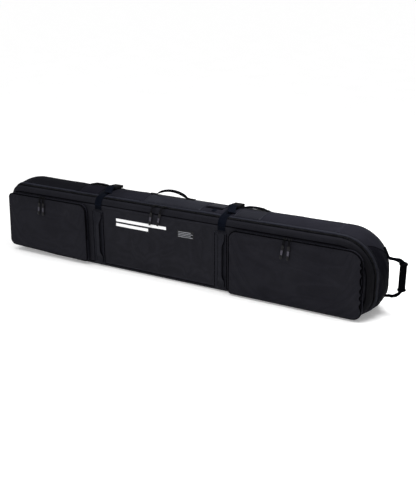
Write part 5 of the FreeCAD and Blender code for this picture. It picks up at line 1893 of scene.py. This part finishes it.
def make_pull_handle():
    """Webbing loop of the pull handle through its ribbed sleeve."""
    low, high = END_Z
    x0 = END_AXIS_X + 0.0095
    mid = [(x0, high + 0.0025), (GRIP_X - 0.0125, high + 0.0015), (GRIP_X, high - 0.0047),
           (GRIP_X, low + 0.0206), (GRIP_X - 0.0126, low + 0.0085), (x0, low + 0.0015)]
    pts = rounded_path([(x, HANDLE_Y, z) for x, z in mid], 0.0022, 3)
    ups = [t.cross(Vector((0, 1, 0))).normalized() for t in tangents(pts)]
    length = sum((b - a).length for a, b in zip(pts, pts[1:]))

    def neck(f):
        share = min(min(f, 1 - f) * length / 0.012, 1.0)
        return (0.78 + 0.22 * share, 0.66 + 0.34 * share)

    web = swept(pts, strap_section(END_W, 0.0100, -0.0050), up=ups, scale=neck)
    sewn("pull_handle_webbing", [web], "strap_z", "pull_handle", "handle_webbing",
         "pull_handle_web")

    verts, z0 = [], GRIP_MID - GRIP_L / 2
    steps, ring = 96, 28
    for i in range(steps + 1):
        z = z0 + GRIP_L * i / steps
        near = min(z - z0, z0 + GRIP_L - z)
        r = GRIP_R + 0.0026 * (1 if near < 0.0062 else max(0.0, 1 - (near - 0.0062) / 0.0016))
        r *= 0.86 + 0.14 * min(near / 0.0016, 1.0)
        if near > 0.012:
            r += 0.0004 * math.cos(2 * math.pi * (z - z0) / 0.0072) + 0.0002
        for k in range(ring):
            a = 2 * math.pi * k / ring
            wide = 1.0 + 0.30 * abs(math.sin(a)) ** 3
            verts.append(Vector((GRIP_X + 0.0035 + r * 1.18 * math.cos(a),
                                 HANDLE_Y + r * wide * 1.12 * math.sin(a), z)))
    sewn("pull_handle_sleeve", [(verts, tube_faces(steps + 1, ring))], "grip", "pull_handle",
         "grip_plastic", "pull_handle_grip")


def make_pull_roots():
    """Sewn anchors of the pull handle: webbing down the round end, turned out at its end."""
    low, high = END_Z
    parts = []
    for z, lean in ((high + 0.001, 1), (low, -1)):
        line = []
        for k in range(13):
            at = z + 0.038 * (1 - k / 12) if lean > 0 else z + END_T - 0.037 * (1 - k / 12)
            hit, _ = SHELL_SKIN.end(HANDLE_Y, at)
            line.append(Vector((min(hit.x, 0.8185) + 0.0006, HANDLE_Y, at)))
        line[-1].z = z + END_T / 2 + lean * 0.0012
        line.append(Vector((END_AXIS_X - 0.0042, HANDLE_Y, z + END_T / 2)))
        line = rounded_path(line, 0.002, 2)
        ups = []
        for t in tangents(line):
            u = t.cross(Vector((0, lean, 0)))
            ups.append((u if u.x + u.z * lean * 0.2 > 0 else -u).normalized())
        parts.append(swept(line, strap_section(END_W, 0.0020), up=ups))
    anchor = sewn("pull_handle_roots", parts, "strap_z", "shell", "handle_webbing",
                  "pull_handle_anchors")
    skin = Surface(anchor)
    rows = []
    runs = (((-1, 0), (1, 0)), ((1, 0), (1, 1)), ((1, 1), (-1, 1)), ((-1, 1), (-1, 0)),
            ((-1, 0), (1, 1)), ((-1, 1), (1, 0)))
    for z0, z1 in ((high + 0.012, high + 0.034), (low - 0.028, low - 0.006)):
        for (ya, za), (yb, zb) in runs:
            hits = [skin.end(HANDLE_Y + 0.0095 * (ya + (yb - ya) * i / 7),
                             z0 + (z1 - z0) * (za + (zb - za) * i / 7), STITCH_OFF)
                    for i in range(8)]
            hits = [hit for hit in hits if hit]
            if len(hits) > 2:
                rows.append(stitches([p for p, _ in hits], [n for _, n in hits]))
    sewn("pull_handle_stitching", rows, "stitch", "shell", "handle_webbing")


LINK_X = 0.8150


def make_pull_links():
    """Short straight lengths of the pull handle's webbing where it leaves its roots, narrowed at
    the end's axis.
    """
    low, high = END_Z

    def waist(f):
        out = abs(LINK_X + 0.021 * f - END_AXIS_X)
        return (0.80 + 0.20 * clamp((out - 0.002) / 0.007), 1.0)

    for name, z in (("upper", high + 0.0025), ("lower", low + 0.0015)):
        line = [Vector((LINK_X + 0.0006 * i, HANDLE_Y, z)) for i in range(36)]
        web = swept(line, strap_section(0.0235, 0.0062, -0.0031), up=Vector((0, 0, 1)), scale=waist)
        link = joined(f"pull_handle_{name}_link", [web], M["strap_z"])
        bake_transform(link)


make_pull_handle()
make_pull_roots()
make_pull_links()


# ---- end patch, printed mark and label ---------------------------------------------------
def boxed(x0, x1, z0, z1):
    """Corners of an upright rectangle."""
    return [(x0, z0), (x1, z0), (x1, z1), (x0, z1)]


PRINT_BARS = ((-0.266, -0.030, 0.2085, 0.2205), (-0.266, -0.112, 0.1895, 0.2015))
LABEL_PLATE, LABEL_Z, LABEL_PITCH = (0.022, 0.094, 0.189, 0.219), 0.1925, 0.0062


def make_prints():
    """Two plain bars printed on the lid and a small ruled label beside them."""
    shapes = [(f"lid_print_{i + 1}", bar, "mark", 0.0005, 0.003)
              for i, bar in enumerate(PRINT_BARS)]
    shapes.append(("lid_label_plate", LABEL_PLATE, "rubber", 0.0004, 0.004))
    for i in range(4):
        z = LABEL_Z + i * LABEL_PITCH
        rule = (0.026, 0.090 - 0.009 * (i % 2), z, z + 0.0030)
        shapes.append((f"lid_label_{i + 1}", rule, "label", 0.0008, 0.004))
    for name, box, look, thick, step in shapes:
        attach(laid(name, LID_SKIN, boxed(*box), M[look], thick, step), "lid", slot="lid_fabric")


def make_end_patch():
    """Reinforcement over the round end's own folds, its upper edge rising to the zip; its dark
    colour is partly its own and partly painted shade of the round end, which faces away from the
    light.
    """
    order = ("top_right", "right", "bottom_right")
    run = between(ALL, ("top_right", 0.43), ("bottom_right", 0.58))
    share = [order.index(side) + f for side, f in run]
    ys = [y for y in TUB_YS if -0.066 < y < 0.0975]
    grid = ring_grid(run, ys)
    normals = outward(grid, normals_of(grid))
    skin = grid + normals * lift_of(grid, lambda p: tub_lift(p, 3.0, 2, END_GAIN))[..., None]
    rows = []
    for r, y in enumerate(ys):
        start = 0.74 - 0.30 * min(abs(y - HANDLE_Y) / 0.085, 1.0)
        row = []
        for s in share:
            at = max(s, start)
            p, n = (np.array([np.interp(at, share, field[r, :, k]) for k in range(3)])
                    for field in (skin, normals))
            rim = min((at - start) * 18, (share[-1] - at) * 18, (y - ys[0]) / 0.002,
                      (ys[-1] - y) / 0.002)
            row.append(Vector(p + n * (0.0002 + 0.0013 * (1 - math.exp(-rim / 1.2)))))
        rows.append(row)
    middle = (len(ys) - 1) * (len(run) - 1) // 2
    attach(open_sheet("handle_end_patch", rows, M["end"], 0.0009, middle, (1, 0, 0)), "shell",
           slot="panel_fabric")
    seam = [row[0] for row in rows]
    pipe = tube(seam, 0.0014, ups=[Vector((0.7, 0, 0.7))] * len(seam))
    sewn("handle_end_patch_piping", [pipe], "piping", "shell", "panel_fabric")


def make_window_details():
    """Dark sheet laid as painted shade for the slot in front of the address window, and a small
    webbing tab in front of it.
    """
    # the slot is a thin dark sheet on the cloth: painted shade where the opening is
    for name, box, look, thick, step, slot in (
            ("address_slot_painted_shade", (0.108, 0.181, -0.040, -0.029), "piping", 0.0007, 0.004,
             "panel_fabric"),
            ("address_tab", (0.146, 0.161, -0.060, -0.041), "strap", 0.0022, 0.003,
             "handle_webbing")):
        shape = laid(name, SHELL_SKIN, boxed(*box), M[look], thick, step, "top")
        attach(shape, "shell", slot=slot)


make_prints()
make_end_patch()
make_window_details()


# ---- fold of the lid, linings, and the carried-over parts --------------------------------
def make_fold():
    """Fabric hinge under the zip's ends, from the shell's lower edge to the lid's."""
    low = [s for s in ALL if Ring(ZIP_Y).at(*s)[2] < ZIP_LOW_Z]
    run = ([s for s in low if s[0] == "bottom_right"]
           + [s for s in ALL if s[0] in ("bottom", "rise")]
           + [s for s in low if s[0] == "bottom_left"])
    ys = [ZIP_Y + ZIP_HALF + 0.0002, -0.0835, -0.0850, -0.0865, ZIP_Y - ZIP_HALF - 0.0002]
    grid = ring_grid(run, ys)
    fold = shell_piece("lid_fold_fabric", grid, np.full(grid.shape[:2], -0.0003), 0.0018,
                       M["piping"])
    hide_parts("lid_fold")
    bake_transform(fold)


def quilt(p, pitch=0.055):
    """Diamond quilting of a lining: cells that swell between crossed seams."""
    u, v = (p[0] + p[2] + p[1]) / pitch, (p[0] - p[2] - p[1]) / pitch
    return 0.0020 * abs(math.sin(math.pi * u) * math.sin(math.pi * v)) ** 0.5


def make_linings():
    """Quilted foam linings of the shell and of the lid, seen when the bag is open."""
    ys = arc_ys(ZIP_Y + ZIP_HALF + 0.001, 0.0990, 0.008, 0.004) + [0.1003, 0.1011]
    grid = ring_grid(samples(0.010), ys, 0.0034)
    wall = shell_piece("shell_lining", grid, np.full(grid.shape[:2], -0.0036), 0.0014,
                       M["lining"], wrap=True)
    back = face_panel("back_lining", 0.0985, lambda p: -quilt(p), M["lining"], 160, 30, 0.0034,
                      0.0062)
    for obj, node in ((wall, ["shell_padding"]), (back, [])):
        wheel_room_cut(obj)
        attach(obj, "shell", *node, slot="lining_foam")
    face = face_panel("lid_lining", FRONT_Y + 0.0064, lambda p: -quilt(p), M["lining"], 160, 30,
                      0.0030, 0.0085)
    attach(face, "lid", "lid_padding", slot="lining_foam")


make_fold()
make_linings()

CARRIED = {
    "stiffener_board": ("board", 0.0), "wheel_housing": ("housing", 0.0012),
    "skid_rails": ("housing", 0.0008), "skid_rail_rivets": ("rivet", 0.0004),
    "wheel_axles": ("rivet", 0.0004), "left_buckle_socket": ("buckle", 0.0009),
    "right_buckle_socket": ("buckle", 0.0009), "left_buckle_tongue": ("buckle", 0.0008),
    "right_buckle_tongue": ("buckle", 0.0008), "address_frame": ("patch", 0.0006),
    "address_card": ("card", 0.0003),
}
for name in ("lower", "upper"):
    CARRIED[f"{name}_wheel_tyre"] = ("tyre", 0.0)
    CARRIED[f"{name}_wheel_hub"] = ("hub", 0.0006)
    CARRIED[f"{name}_wheel_bearings"] = ("steel", 0.0003)
for zip_name in SEATS:
    for part in "ab":
        CARRIED[f"{zip_name}_slider_{part}"] = ("metal", 0.0003)
for name, (material, width) in CARRIED.items():
    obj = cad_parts[name]
    obj.data.materials.clear()
    obj.data.materials.append(M[material])
    for slot in obj.material_slots:
        slot.material = M[material]
    if width:
        bevelled(obj, width)
